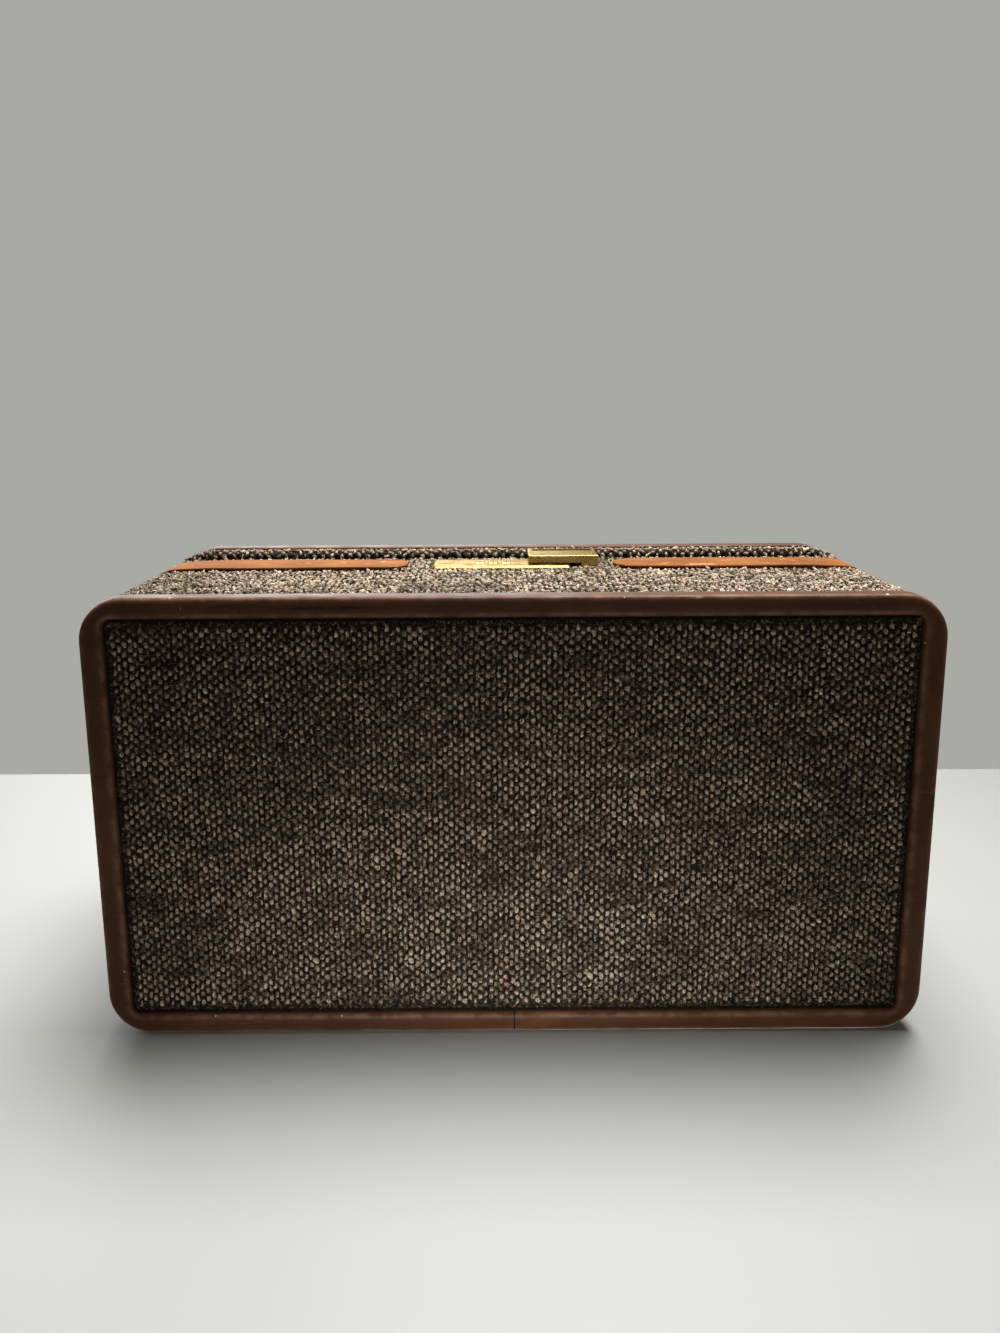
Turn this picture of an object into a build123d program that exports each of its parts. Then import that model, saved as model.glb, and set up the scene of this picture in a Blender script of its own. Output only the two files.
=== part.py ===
"""Cosmetic train case: a boarded box covered in woven cloth, edged with moulded frames.

The case stands upright. X runs to the right seen from the front, -Y is the front with the
lock, +Z is up, and the origin lies in the base plane below the middle of the whole case.
Everything is drawn about the middle of the walls and moved to that origin when it is written
out. Sizes are in millimetres.
"""

import math
import os

from build123d import *

# Overall size
case_width = 381.0
case_depth = 208.0
case_height = 195.0
corner_radius = 20.0

# Wall build-up, counted inwards from the moulding's outline
cloth_inset = 1.6
cloth_thick = 1.4
board_thick = 4.5
lining_thick = 0.8

# Split between the box and the lid
split_height = 140.0
split_gap = 2.0

# Moulded edge frames
foot_thick = 3.0
foot_width = 10.0
foot_inner_radius = 3.0
flange_height = 12.0
moulding_round = 2.2
lip_width = 1.6
lip_groove_width = 0.9
lip_groove_depth = 0.8

# Lid rim that stands proud of the box
rim_proud_front = 5.5
rim_proud_side = 3.0
rim_corner_growth = 12.0
rim_round = 1.3
flare_height = 24.0
flare_steps = 4

# Dust lip inside the opening
lip_thick = 1.4
lip_rise = 8.0
lid_lip_gap = 0.6

# Leather belts
belt_width = 32.0
belt_thick = 2.2
belt_tip_x = 53.6
belt_end_y = 78.0
belt_tip_round = 13.0
belt_end_round = 6.0

# Lock plate and sliding button
plate_left = -40.8
plate_right = 31.0
plate_height = 27.0
plate_thick = 2.1
plate_bevel = 1.1
plate_corner = 2.0
button_left = 9.3
button_right = 45.5
button_drop = 5.5
button_split_gap = 8.0
button_proud = 4.2
button_gap = 0.3
button_round = 0.7
button_border = 2.2
button_recess = 0.5
leg_width = 8.8
slide_travel = 5.5
slide_gap = 0.4

# Lock case set into the front board
lock_left = -27.0
lock_right = 48.0
lock_below_dials = 9.5
lock_above_dials = 10.5
lock_lip_gap = 2.0
lock_rim_gap = 3.0
lock_wall = 0.8
lock_deep = 3.0
lock_shallow = 0.8
rib_x = 1.6
stud_radius = 0.9
stud_edge = 4.8
stud_border = 3.5
stud_low_border = 2.0
stud_middle_x = -6.0
stud_right_edge = 3.0

# Bolt that the button carries
bolt_thick = 1.2
bolt_depth_in_case = 1.1
stem_left = 20.0
stem_right = 26.0
stem_height = 6.0
finger_left = 10.6
finger_width = 4.0
finger_height = 4.0
finger_rim_gap = 3.6
finger_play = 1.0
finger_side_gap = 0.6

# Dial wheels
wheel_radius = 4.8
wheel_width = 4.2
wheel_pitch = 6.8
wheel_first_x = -16.0
wheel_count = 3
wheel_drop = 32.5
wheel_proud = 0.6
wheel_notches = 10
wheel_notch_radius = 0.4
wheel_side_gap = 0.35
shaft_radius = 1.0
shaft_gap = 0.06
spring_thick = 0.5
spring_ridge = 0.3
spring_height = 12.0

# Strike on the lid
strike_thick = 1.2
hook_neck = 4.0
hook_jaw = 3.0
strike_base_rise = 10.0
strike_base_height = 15.0
strike_base_side = 6.0
strike_base_width = 22.0
strike_rivet_edge = 3.0
strike_rivet_radius = 1.2
strike_swing_room = 1.0
strike_side_room = 1.0

# Hinges
hinge_end_gap = 72.5
hinge_length = 40.0
middle_knuckle = 13.4
knuckle_gap = 0.3
knuckle_radius = 2.0
knuckle_room = 0.6
hinge_pin_radius = 1.0
hinge_pin_gap = 0.05
axis_behind = 2.1
leaf_thick = 1.0
leaf_height = 21.0
hinge_rivet_radius = 1.2
rivet_head_radius = 2.4
rivet_head_thick = 0.5
hinge_rivet_x = 13.0
hinge_rivet_drop = 12.0

# Lid stays, one on each side
stay_radius = 62.0
stay_half_chord = 12.0
lid_open_deg = 100.0
stay_arm_thick = 1.2
stay_arm_width = 10.0
stay_slot = 4.4
stay_stud_radius = 2.0
stay_pin_radius = 1.5
stay_pin_gap = 0.05
stay_gap = 0.6
stay_head_radius = 3.6
stay_head_thick = 1.0
stay_head_gap = 0.3
stay_boss_radius = 3.8
stay_boss_gap = 0.2

# Handle on the lid
handle_half_span = 58.0
handle_reach = 36.0
handle_lean = 8.0
handle_bend = 14.0
grip_gap = 14.4
grip_radius = 6.5
grip_clear = 0.5
core_radius = 2.5
eye_radius = 4.0
eye_length = 7.0
ear_thick = 2.0
ear_gap = 0.3
ear_radius = 4.2
mount_length = 22.0
mount_width = 18.0
mount_thick = 1.5
mount_corner = 3.0
handle_pin_radius = 1.5
handle_pin_gap = 0.05
handle_pin_head = 2.6
handle_pin_head_thick = 0.9
handle_rivet_radius = 1.4
handle_rivet_head = 2.4
handle_rivet_head_thick = 0.7
handle_rivet_x = 7.5
handle_rivet_y = 6.3
ferrule_proud = 0.3
ferrule_length = 4.0

# Tray and its ledges
tray_inset_x = 14.5
tray_inset_y = 17.0
tray_wall = 2.5
tray_floor = 2.5
tray_height = 38.0
tray_corner = 8.0
tray_rim_gap = 6.8
ledge_top_gap = 0.2
ledge_thick = 3.0
ledge_width = 16.0
ledge_end_gap = 16.0
divider_y = -16.0
divider_x = 60.0
divider_thick = 2.0
divider_drop = 4.0
tab_width = 24.0
tab_thick = 1.0
tab_height = 12.0

# Pockets on the long walls
pocket_end_gap = 42.5
pocket_bulge = 7.0
pocket_skin = 2.0
pocket_bottom = 12.0
pocket_height = 58.0
elastic_height = 3.0

# Mirror under the lid
mirror_end_gap = 85.5
mirror_depth = 120.0
mirror_frame_width = 9.0
mirror_frame_thick = 5.0
mirror_glass_thick = 2.4
mirror_lap = 3.0
mirror_glass_drop = 1.0
mirror_corner = 8.0

# Places worked out from the sizes above
half_x = case_width / 2
half_y = case_depth / 2
cloth_inner = cloth_inset + cloth_thick
board_inner = cloth_inner + board_thick
lining_inner = board_inner + lining_thick
lip_inner = lining_inner + lip_thick
lid_lining_inner = lining_inner - lid_lip_gap
lid_board_inner = lid_lining_inner - lining_thick
box_top = split_height - split_gap / 2
lid_bottom = split_height + split_gap / 2
bottom_cloth_top = foot_thick + cloth_thick
bottom_board_top = bottom_cloth_top + board_thick
floor_top = bottom_board_top + lining_thick
lid_cloth_top = case_height - foot_thick
lid_board_top = lid_cloth_top - cloth_thick
lid_board_low = lid_board_top - board_thick
ceiling = lid_board_low - lining_thick
flare_top = lid_bottom + flare_height
cloth_face_y = -half_y + cloth_inset
board_face_y = -half_y + cloth_inner
board_back_y = -half_y + board_inner
lining_back_y = -half_y + lining_inner
back_cloth_y = half_y - cloth_inset
hinge_y = half_y - axis_behind
plate_face_y = cloth_face_y - plate_thick
front_reach = button_proud - plate_face_y
origin_shift = (front_reach - half_y) / 2
hinge_x = half_x - hinge_end_gap
pocket_half = half_x - pocket_end_gap
mirror_width = case_width - 2 * mirror_end_gap

# Heights of the belts and the lock, counted from the dials
wheel_height = split_height - wheel_drop
belt_low = wheel_height - belt_width / 2
plate_low = wheel_height - plate_height / 2
plate_high = wheel_height + plate_height / 2
button_low = wheel_height - button_drop
button_high = split_height - button_split_gap
lock_low = wheel_height - lock_below_dials
lock_shelf = wheel_height + lock_above_dials
lock_high = box_top - lock_rim_gap
lip_low = lock_shelf + lock_lip_gap
stem_high = lock_shelf
stem_low = stem_high - stem_height
finger_high = lock_high - finger_rim_gap
finger_low = finger_high - finger_height
finger_right = finger_left + finger_width
stud_places = [
    (plate_left + stud_edge, plate_low + stud_border),
    (plate_left + stud_edge, plate_high - stud_border),
    (stud_middle_x, plate_low + stud_low_border),
    (plate_right - stud_right_edge, plate_low + stud_low_border),
]

# Strike: its hook has a notch that the bolt's finger slides into
notch_low = finger_low - finger_play
notch_high = finger_high + finger_play
notch_left = finger_left - slide_travel - finger_play
hook_left = notch_left - hook_neck
hook_right = finger_left - finger_side_gap
hook_low = notch_low - hook_jaw
strike_base_low = split_height + strike_base_rise
strike_base_left = hook_left - strike_base_side


def outline(inset, radius=None, mode=Mode.ADD):
    """Draw the plan outline of the case, moved inwards by inset."""
    RectangleRounded(
        case_width - 2 * inset,
        case_depth - 2 * inset,
        corner_radius - inset if radius is None else radius,
        mode=mode,
    )


def ring(outer, inner, low, high, mode=Mode.ADD):
    """Add a wall that follows the plan outline between two insets."""
    with BuildSketch(Plane.XY.offset(low)) as profile:
        outline(outer)
        outline(inner, mode=Mode.SUBTRACT)
    extrude(profile.sketch, amount=high - low, mode=mode)


def slab(inset, low, high, mode=Mode.ADD):
    """Add a full panel inside the plan outline."""
    with BuildSketch(Plane.XY.offset(low)) as profile:
        outline(inset)
    extrude(profile.sketch, amount=high - low, mode=mode)


def block(low, high, mode=Mode.ADD):
    """Add a box between two corners."""
    size = [b - a for a, b in zip(low, high)]
    middle = tuple((a + b) / 2 for a, b in zip(low, high))
    with Locations(middle):
        Box(*size, mode=mode)


def rod_x(place, radius, length, mode=Mode.ADD):
    """Add a cylinder along X, centred on its place."""
    with Locations(place):
        Cylinder(radius, length, rotation=(0, 90, 0), mode=mode)


def rod_y(x, z, y_from, y_to, radius, mode=Mode.ADD):
    """Add a cylinder along Y between two depths."""
    with Locations((x, (y_from + y_to) / 2, z)):
        Cylinder(radius, abs(y_to - y_from), rotation=(90, 0, 0), mode=mode)


def rod_z(x, y, z_from, z_to, radius, mode=Mode.ADD):
    """Add a cylinder along Z between two heights."""
    with Locations((x, y, (z_from + z_to) / 2)):
        Cylinder(radius, abs(z_to - z_from), mode=mode)


def keep(builder, name):
    """Move a finished piece to the origin, label it and write it out."""
    part = builder.part.moved(Location((0, origin_shift, 0)))
    part.label = name
    export_step(part, f"parts/{name}.step")


def lid_section(z, inset):
    """Draw the lid's plan outline at one height.

    It flares out towards its rim, and its front corners get rounder there.
    """
    share = ((flare_top - z) / flare_height) ** 2
    side = half_x - inset + share * rim_proud_side
    front = half_y - inset + share * rim_proud_front
    back = half_y - inset
    with BuildSketch(Plane.XY.offset(z)) as section:
        with Locations((0, (back - front) / 2)):
            Rectangle(2 * side, front + back)
        fillet(section.vertices().sort_by(Axis.Y)[:2],
               corner_radius - inset + share * rim_corner_growth)
        fillet(section.vertices().sort_by(Axis.Y)[-2:], corner_radius - inset)
    return section.sketch


def lid_solid(inset, low, high, mode=Mode.ADD):
    """Add the solid of the lid between two heights, flared below and straight above."""
    step = (flare_top - low) / flare_steps
    sections = [lid_section(low + i * step, inset) for i in range(flare_steps + 1)]
    loft(sections, ruled=True, mode=mode)
    slab(inset, flare_top, high, mode=mode)


os.makedirs("parts", exist_ok=True)

# Knuckle places shared by the hinges and the notches that clear them
hinge_places = [-hinge_x, hinge_x]
hinge_rivet_places = [x + step for x in hinge_places for step in (-hinge_rivet_x, hinge_rivet_x)]
outer_knuckle = (hinge_length - middle_knuckle) / 2 - knuckle_gap
outer_knuckle_x = hinge_length / 2 - outer_knuckle / 2
knuckle_clear = knuckle_radius + knuckle_room
hinge_rivet_low = split_height - hinge_rivet_drop
hinge_rivet_high = split_height + hinge_rivet_drop


def cut_knuckle_notches():
    """Clear the rim round both hinges' knuckles."""
    for x in hinge_places:
        rod_x((x, hinge_y, split_height), knuckle_clear,
              hinge_length + 2 * knuckle_room, mode=Mode.SUBTRACT)


def cut_hinge_rivets(z, inner):
    """Drill the back wall for one row of hinge rivets."""
    for x in hinge_rivet_places:
        rod_y(x, z, half_y - inner, half_y, hinge_rivet_radius, mode=Mode.SUBTRACT)


# Stay places: lid pivot and box stud lie on one circle round the hinge axis
stay_y = hinge_y - math.sqrt(stay_radius**2 - stay_half_chord**2)
stay_stud_z = split_height - stay_half_chord
stay_pivot_z = split_height + stay_half_chord
stay_arm_inset = lip_inner + stay_gap
stay_arm_back = stay_arm_inset + stay_arm_thick
stay_start = 2 * stay_half_chord
stud_root_x = half_x - cloth_inner
stud_tip_x = half_x - stay_arm_back - stay_head_gap
stay_angle = math.asin(stay_half_chord / stay_radius) + math.radians(lid_open_deg / 2)
stay_reach = 2 * stay_radius * math.sin(stay_angle)


def cut_stay_studs():
    """Drill both side walls for the box studs of the stays."""
    for side in (-1, 1):
        rod_x((side * (stud_root_x + stud_tip_x) / 2, stay_y, stay_stud_z), stay_stud_radius,
              stud_root_x - stud_tip_x, mode=Mode.SUBTRACT)


# Path of the strike and of the bolt's finger through the front wall
case_front_y = board_face_y
shallow_back_y = board_back_y - lock_shallow
deep_back_y = board_back_y + lock_deep
tongue_left = hook_left - strike_side_room
tongue_right = finger_right + strike_side_room
strike_front_y = -half_y + lid_lining_inner
strike_back_y = strike_front_y + strike_thick
tongue_front_y = strike_front_y - strike_swing_room
tongue_low = hook_low - strike_side_room


def cut_tongue_path(low, high):
    """Clear the way of the strike down into the front wall."""
    block((tongue_left, tongue_front_y, low), (tongue_right, lining_back_y + lip_thick, high),
          mode=Mode.SUBTRACT)


# Wooden wall of the box
with BuildPart() as body_frame:
    ring(cloth_inner, board_inner, bottom_cloth_top, box_top - cloth_thick)
    block((lock_left, board_face_y, lock_low), (lock_right, board_back_y, lock_high),
          mode=Mode.SUBTRACT)
    cut_tongue_path(lock_high, box_top)
    cut_knuckle_notches()
    cut_hinge_rivets(hinge_rivet_low, board_inner)
    cut_stay_studs()
    for x, z in stud_places:
        rod_y(x, z, board_face_y, board_back_y, stud_radius, mode=Mode.SUBTRACT)
keep(body_frame, "body_frame")

with BuildPart() as bottom_board:
    slab(board_inner, bottom_cloth_top, bottom_board_top)
keep(bottom_board, "bottom_board")

# Window in the cloth behind the lock plate
window_left = lock_left
window_right = rib_x + lock_wall
window_half = wheel_radius + wheel_side_gap
stem_slot_low = stem_low - slide_gap
stem_slot_high = stem_high + slide_gap
stem_slot_left = stem_left - slide_travel - slide_gap
stem_slot_right = stem_right + slide_gap

with BuildPart() as body_tweed:
    ring(cloth_inset, cloth_inner, foot_thick, box_top)
    ring(cloth_inner, lining_inner, box_top - cloth_thick, box_top)
    cut_tongue_path(box_top - cloth_thick, box_top)
    cut_knuckle_notches()
    cut_hinge_rivets(hinge_rivet_low, board_inner)
    block((window_left, cloth_face_y, wheel_height - window_half),
          (window_right, board_face_y, wheel_height + window_half), mode=Mode.SUBTRACT)
    block((stem_slot_left, cloth_face_y, stem_slot_low),
          (stem_slot_right, board_face_y, stem_slot_high), mode=Mode.SUBTRACT)
    for x, z in stud_places:
        rod_y(x, z, cloth_face_y, board_face_y, stud_radius, mode=Mode.SUBTRACT)
keep(body_tweed, "body_tweed")

with BuildPart() as bottom_tweed:
    slab(cloth_inner, foot_thick, bottom_cloth_top)
keep(bottom_tweed, "bottom_tweed")


def make_moulding(seat, way):
    """Moulded edge frame: a flange up the wall and a flat foot with a grooved lip."""
    groove_outer = foot_width - lip_width - lip_groove_width
    groove_inner = foot_width - lip_width
    with BuildPart() as moulding:
        with BuildSketch(Plane.XY.offset(seat)):
            outline(0)
            outline(foot_width, foot_inner_radius, mode=Mode.SUBTRACT)
        extrude(amount=way * foot_thick)
        with BuildSketch(Plane.XY.offset(seat + way * foot_thick)):
            outline(0)
            outline(cloth_inset, mode=Mode.SUBTRACT)
        extrude(amount=way * (flange_height - foot_thick))
        outer_face = moulding.faces().filter_by(Axis.Z).sort_by(Axis.Z)[0 if way > 0 else -1]
        fillet(outer_face.outer_wire().edges(), moulding_round)
        with BuildSketch(Plane.XY.offset(seat)):
            outline(groove_outer, foot_inner_radius + foot_width - groove_outer)
            outline(groove_inner, foot_inner_radius + foot_width - groove_inner,
                    mode=Mode.SUBTRACT)
        extrude(amount=way * lip_groove_depth, mode=Mode.SUBTRACT)
    return moulding


bottom_moulding = make_moulding(0, 1)
keep(bottom_moulding, "bottom_moulding")

with BuildPart() as body_lining:
    slab(board_inner, bottom_board_top, floor_top)
    ring(board_inner, lining_inner, floor_top, box_top - cloth_thick)
    block((lock_left, board_back_y, lock_low), (lock_right, lining_back_y, lock_shelf),
          mode=Mode.SUBTRACT)
    cut_tongue_path(tongue_low, box_top)
    cut_stay_studs()
keep(body_lining, "body_lining")

with BuildPart() as dust_lip:
    ring(lining_inner, lip_inner, lip_low, box_top + lip_rise)
    cut_tongue_path(tongue_low, box_top + lip_rise)
    cut_stay_studs()
keep(dust_lip, "dust_lip")


def make_belt(side):
    """Leather belt from its tip on the front, round the corner and along the side."""
    with BuildPart() as belt:
        with BuildSketch(Plane.XY.offset(belt_low)):
            outline(cloth_inset - belt_thick)
            outline(cloth_inset, mode=Mode.SUBTRACT)
            with Locations((side * (belt_tip_x + half_x / 2), (belt_end_y - case_depth) / 2)):
                Rectangle(half_x, case_depth + belt_end_y, mode=Mode.INTERSECT)
        extrude(amount=belt_width)
        fillet(belt.edges().filter_by(Axis.Y).sort_by(SortBy.LENGTH)[:2], belt_tip_round)
        fillet(belt.edges().filter_by(Axis.X).sort_by(SortBy.LENGTH)[:2], belt_end_round)
    return belt


for side, name in ((-1, "left_belt"), (1, "right_belt")):
    keep(make_belt(side), name)

# Dial wheels share one shaft behind the plate
wheel_y = plate_face_y - wheel_proud + wheel_radius
wheel_places = [wheel_first_x + i * wheel_pitch for i in range(wheel_count)]

with BuildPart() as lock_plate:
    with BuildSketch(Plane(origin=(0, cloth_face_y, 0), x_dir=(1, 0, 0), z_dir=(0, -1, 0))):
        with Locations(((plate_left + plate_right) / 2, (plate_low + plate_high) / 2)):
            RectangleRounded(plate_right - plate_left, plate_high - plate_low, plate_corner)
    extrude(amount=plate_thick)
    chamfer(lock_plate.faces().sort_by(Axis.Y)[0].outer_wire().edges(), plate_bevel)
    for x in wheel_places:
        half = wheel_width / 2 + wheel_side_gap
        block((x - half, plate_face_y, wheel_height - wheel_radius),
              (x + half, cloth_face_y, wheel_height + wheel_radius), mode=Mode.SUBTRACT)
    block((stem_slot_left, plate_face_y, stem_slot_low),
          (stem_slot_right, cloth_face_y, stem_slot_high), mode=Mode.SUBTRACT)
keep(lock_plate, "lock_plate")

shaft_left = lock_left + lock_wall
with BuildPart() as lock_case:
    block((lock_left, case_front_y, lock_low), (lock_right, deep_back_y, lock_shelf))
    block((lock_left, case_front_y, lock_shelf), (lock_right, shallow_back_y, lock_high))
    block((shaft_left, case_front_y, lock_low + lock_wall),
          (lock_right - lock_wall, deep_back_y - lock_wall, lock_shelf - lock_wall),
          mode=Mode.SUBTRACT)
    block((shaft_left, case_front_y, lock_shelf - lock_wall),
          (lock_right - lock_wall, shallow_back_y - lock_wall, lock_high - lock_wall),
          mode=Mode.SUBTRACT)
    block((rib_x, case_front_y, lock_low + lock_wall),
          (rib_x + lock_wall, deep_back_y - lock_wall, lock_shelf - lock_wall))
    block((finger_left - slide_travel - slide_gap, shallow_back_y - lock_wall,
           finger_low - slide_gap),
          (finger_right + slide_gap, shallow_back_y, finger_high + slide_gap),
          mode=Mode.SUBTRACT)
    rod_x(((lock_left + rib_x + lock_wall) / 2, wheel_y, wheel_height), shaft_radius,
          rib_x + lock_wall - lock_left, mode=Mode.SUBTRACT)
keep(lock_case, "lock_case")

with BuildPart() as lock_studs:
    for x, z in stud_places:
        rod_y(x, z, cloth_face_y, board_back_y, stud_radius)
keep(lock_studs, "lock_studs")

with BuildPart() as dial_shaft:
    rod_x(((lock_left + rib_x + lock_wall) / 2, wheel_y, wheel_height), shaft_radius,
          rib_x + lock_wall - lock_left)
keep(dial_shaft, "dial_shaft")

spring_back_y = deep_back_y - lock_wall
with BuildPart() as dial_spring:
    block((shaft_left, spring_back_y - spring_thick, wheel_height - spring_height / 2),
          (rib_x, spring_back_y, wheel_height + spring_height / 2))
    for x in wheel_places:
        rod_x((x, spring_back_y - spring_thick, wheel_height), spring_ridge, wheel_width)
keep(dial_spring, "dial_spring")

for i, x in enumerate(wheel_places):
    with BuildPart() as wheel:
        with BuildSketch(Plane(origin=(x - wheel_width / 2, wheel_y, wheel_height),
                               x_dir=(0, 1, 0), z_dir=(1, 0, 0))):
            Circle(wheel_radius)
            with PolarLocations(wheel_radius, wheel_notches):
                Circle(wheel_notch_radius, mode=Mode.SUBTRACT)
            Circle(shaft_radius + shaft_gap, mode=Mode.SUBTRACT)
        extrude(amount=wheel_width)
    keep(wheel, f"dial_wheel_{i + 1}")

# Button and bolt slide together along the plate
button_back_y = plate_face_y - button_gap
button_face_y = plate_face_y - button_proud
with BuildPart() as slider_button:
    block((button_left, button_face_y, button_low), (button_right, button_back_y, button_high))
    fillet(slider_button.faces().sort_by(Axis.Y)[0].outer_wire().edges(), button_round)
    block((button_left + button_border, button_face_y, button_low + button_border),
          (button_right - button_border, button_face_y + button_recess,
           button_high - button_border), mode=Mode.SUBTRACT)
    block((button_right - leg_width, button_back_y, button_low),
          (button_right, cloth_face_y - button_gap, button_high))
keep(slider_button, "slider_button")

bolt_front_y = case_front_y + bolt_depth_in_case
bolt_back_y = bolt_front_y + bolt_thick
with BuildPart() as slider_bolt:
    block((stem_left, button_back_y, stem_low), (stem_right, bolt_back_y, stem_high))
    block((finger_left, bolt_front_y, stem_low), (stem_right, bolt_back_y, finger_high))
    block((finger_left, bolt_back_y, finger_low), (finger_right, strike_back_y, finger_high))
keep(slider_bolt, "slider_bolt")


def make_hinge_leaf(x, way):
    """Hinge leaf with its knuckles: the box leaf has two, the lid leaf has the middle one."""
    with BuildPart() as leaf:
        leaf_end = split_height + way * leaf_height
        block((x - hinge_length / 2, back_cloth_y, min(split_height, leaf_end)),
              (x + hinge_length / 2, back_cloth_y + leaf_thick, max(split_height, leaf_end)))
        if way > 0:
            for step in (-outer_knuckle_x, outer_knuckle_x):
                rod_x((x + step, hinge_y, split_height), knuckle_clear,
                      outer_knuckle + 2 * knuckle_gap, mode=Mode.SUBTRACT)
            rod_x((x, hinge_y, split_height), knuckle_radius, middle_knuckle)
            rod_x((x, hinge_y, split_height), hinge_pin_radius + hinge_pin_gap, middle_knuckle,
                  mode=Mode.SUBTRACT)
        else:
            rod_x((x, hinge_y, split_height), knuckle_clear, middle_knuckle + 2 * knuckle_gap,
                  mode=Mode.SUBTRACT)
            for step in (-outer_knuckle_x, outer_knuckle_x):
                rod_x((x + step, hinge_y, split_height), knuckle_radius, outer_knuckle)
                rod_x((x + step, hinge_y, split_height), hinge_pin_radius, outer_knuckle,
                      mode=Mode.SUBTRACT)
        rivet_z = split_height + way * hinge_rivet_drop
        for step in (-hinge_rivet_x, hinge_rivet_x):
            rod_y(x + step, rivet_z, back_cloth_y, half_y, hinge_rivet_radius,
                  mode=Mode.SUBTRACT)
    return leaf


for x, side in zip(hinge_places, ("left", "right")):
    keep(make_hinge_leaf(x, -1), f"{side}_hinge_box_leaf")
    keep(make_hinge_leaf(x, 1), f"{side}_hinge_lid_leaf")

with BuildPart() as hinge_pins:
    for x in hinge_places:
        rod_x((x, hinge_y, split_height), hinge_pin_radius, hinge_length)
keep(hinge_pins, "hinge_pins")

leaf_face_y = back_cloth_y + leaf_thick
for z, name, inner in ((hinge_rivet_low, "box_hinge_rivets", board_inner),
                       (hinge_rivet_high, "lid_hinge_rivets", lid_board_inner)):
    with BuildPart() as rivets:
        for x in hinge_rivet_places:
            rod_y(x, z, half_y - inner, leaf_face_y, hinge_rivet_radius)
            rod_y(x, z, leaf_face_y, leaf_face_y + rivet_head_thick, rivet_head_radius)
    keep(rivets, name)

# Studs of the stays on the box and pivots of the stays on the lid
with BuildPart() as stay_studs:
    for side in (-1, 1):
        rod_x((side * (stud_root_x + stud_tip_x) / 2, stay_y, stay_stud_z), stay_stud_radius,
              stud_root_x - stud_tip_x)
        rod_x((side * (stud_tip_x - stay_head_thick / 2), stay_y, stay_stud_z),
              stay_head_radius, stay_head_thick)
keep(stay_studs, "stay_studs")

with BuildPart() as stay_pivots:
    for side in (-1, 1):
        wall_face = half_x - lid_lining_inner
        boss_face = half_x - stay_arm_inset + stay_boss_gap
        rod_x((side * (wall_face + boss_face) / 2, stay_y, stay_pivot_z), stay_boss_radius,
              wall_face - boss_face)
        rod_x((side * (boss_face + stud_tip_x) / 2, stay_y, stay_pivot_z), stay_pin_radius,
              boss_face - stud_tip_x)
        rod_x((side * (stud_tip_x - stay_head_thick / 2), stay_y, stay_pivot_z),
              stay_head_radius, stay_head_thick)
keep(stay_pivots, "stay_pivots")

for side, name in ((-1, "stay_arm_left"), (1, "stay_arm_right")):
    low_x = half_x - stay_arm_back if side > 0 else -half_x + stay_arm_inset
    slot_length = stay_reach - stay_start + stay_slot
    slot_middle = stay_pivot_z - (stay_reach + stay_start) / 2
    with BuildPart() as arm:
        with BuildSketch(Plane(origin=(low_x, stay_y, 0), x_dir=(0, 1, 0), z_dir=(1, 0, 0))):
            with Locations((0, stay_pivot_z - stay_reach / 2)):
                SlotCenterToCenter(stay_reach, stay_arm_width, rotation=90)
            with Locations((0, slot_middle)):
                SlotOverall(slot_length, stay_slot, rotation=90, mode=Mode.SUBTRACT)
            with Locations((0, stay_pivot_z)):
                Circle(stay_pin_radius + stay_pin_gap, mode=Mode.SUBTRACT)
        extrude(amount=stay_arm_thick)
    keep(arm, name)

handle_places = [-handle_half_span, handle_half_span]
handle_rivet_places = [
    (x + dx, dy)
    for x in handle_places
    for dx in (-handle_rivet_x, handle_rivet_x)
    for dy in (-handle_rivet_y, handle_rivet_y)
]


def cut_handle_rivets(low, high):
    """Drill for the rivets of both handle mounts."""
    for x, y in handle_rivet_places:
        rod_z(x, y, low, high, handle_rivet_radius, mode=Mode.SUBTRACT)


# Lid
with BuildPart() as lid_frame:
    lid_solid(cloth_inner, lid_bottom + cloth_thick, lid_board_top)
    slab(lid_board_inner, lid_bottom, lid_board_top, mode=Mode.SUBTRACT)
    cut_knuckle_notches()
    cut_hinge_rivets(hinge_rivet_high, lid_board_inner)
keep(lid_frame, "lid_frame")

with BuildPart() as lid_board:
    slab(lid_board_inner, lid_board_low, lid_board_top)
    cut_handle_rivets(lid_board_low, lid_board_top)
keep(lid_board, "lid_board")

with BuildPart() as lid_tweed:
    lid_solid(cloth_inset, lid_bottom, lid_cloth_top)
    fillet(lid_tweed.faces().sort_by(Axis.Z)[0].outer_wire().edges(), rim_round)
    lid_solid(cloth_inner, lid_bottom + cloth_thick, lid_cloth_top, mode=Mode.SUBTRACT)
    slab(lid_lining_inner, lid_bottom, flare_top, mode=Mode.SUBTRACT)
    cut_knuckle_notches()
    cut_hinge_rivets(hinge_rivet_high, lid_board_inner)
keep(lid_tweed, "lid_tweed")

with BuildPart() as lid_top_tweed:
    slab(cloth_inner, lid_board_top, lid_cloth_top)
    cut_handle_rivets(lid_board_top, lid_cloth_top)
keep(lid_top_tweed, "lid_top_tweed")

lid_moulding = make_moulding(case_height, -1)
keep(lid_moulding, "lid_moulding")

rivet_xs = [strike_base_left + strike_rivet_edge,
            strike_base_left + strike_base_width - strike_rivet_edge]
strike_rivet_z = strike_base_low + strike_base_height / 2
with BuildPart() as lid_lining:
    ring(lid_board_inner, lid_lining_inner, lid_bottom + cloth_thick, ceiling)
    slab(lid_board_inner, ceiling, lid_board_low)
keep(lid_lining, "lid_lining")

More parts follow.
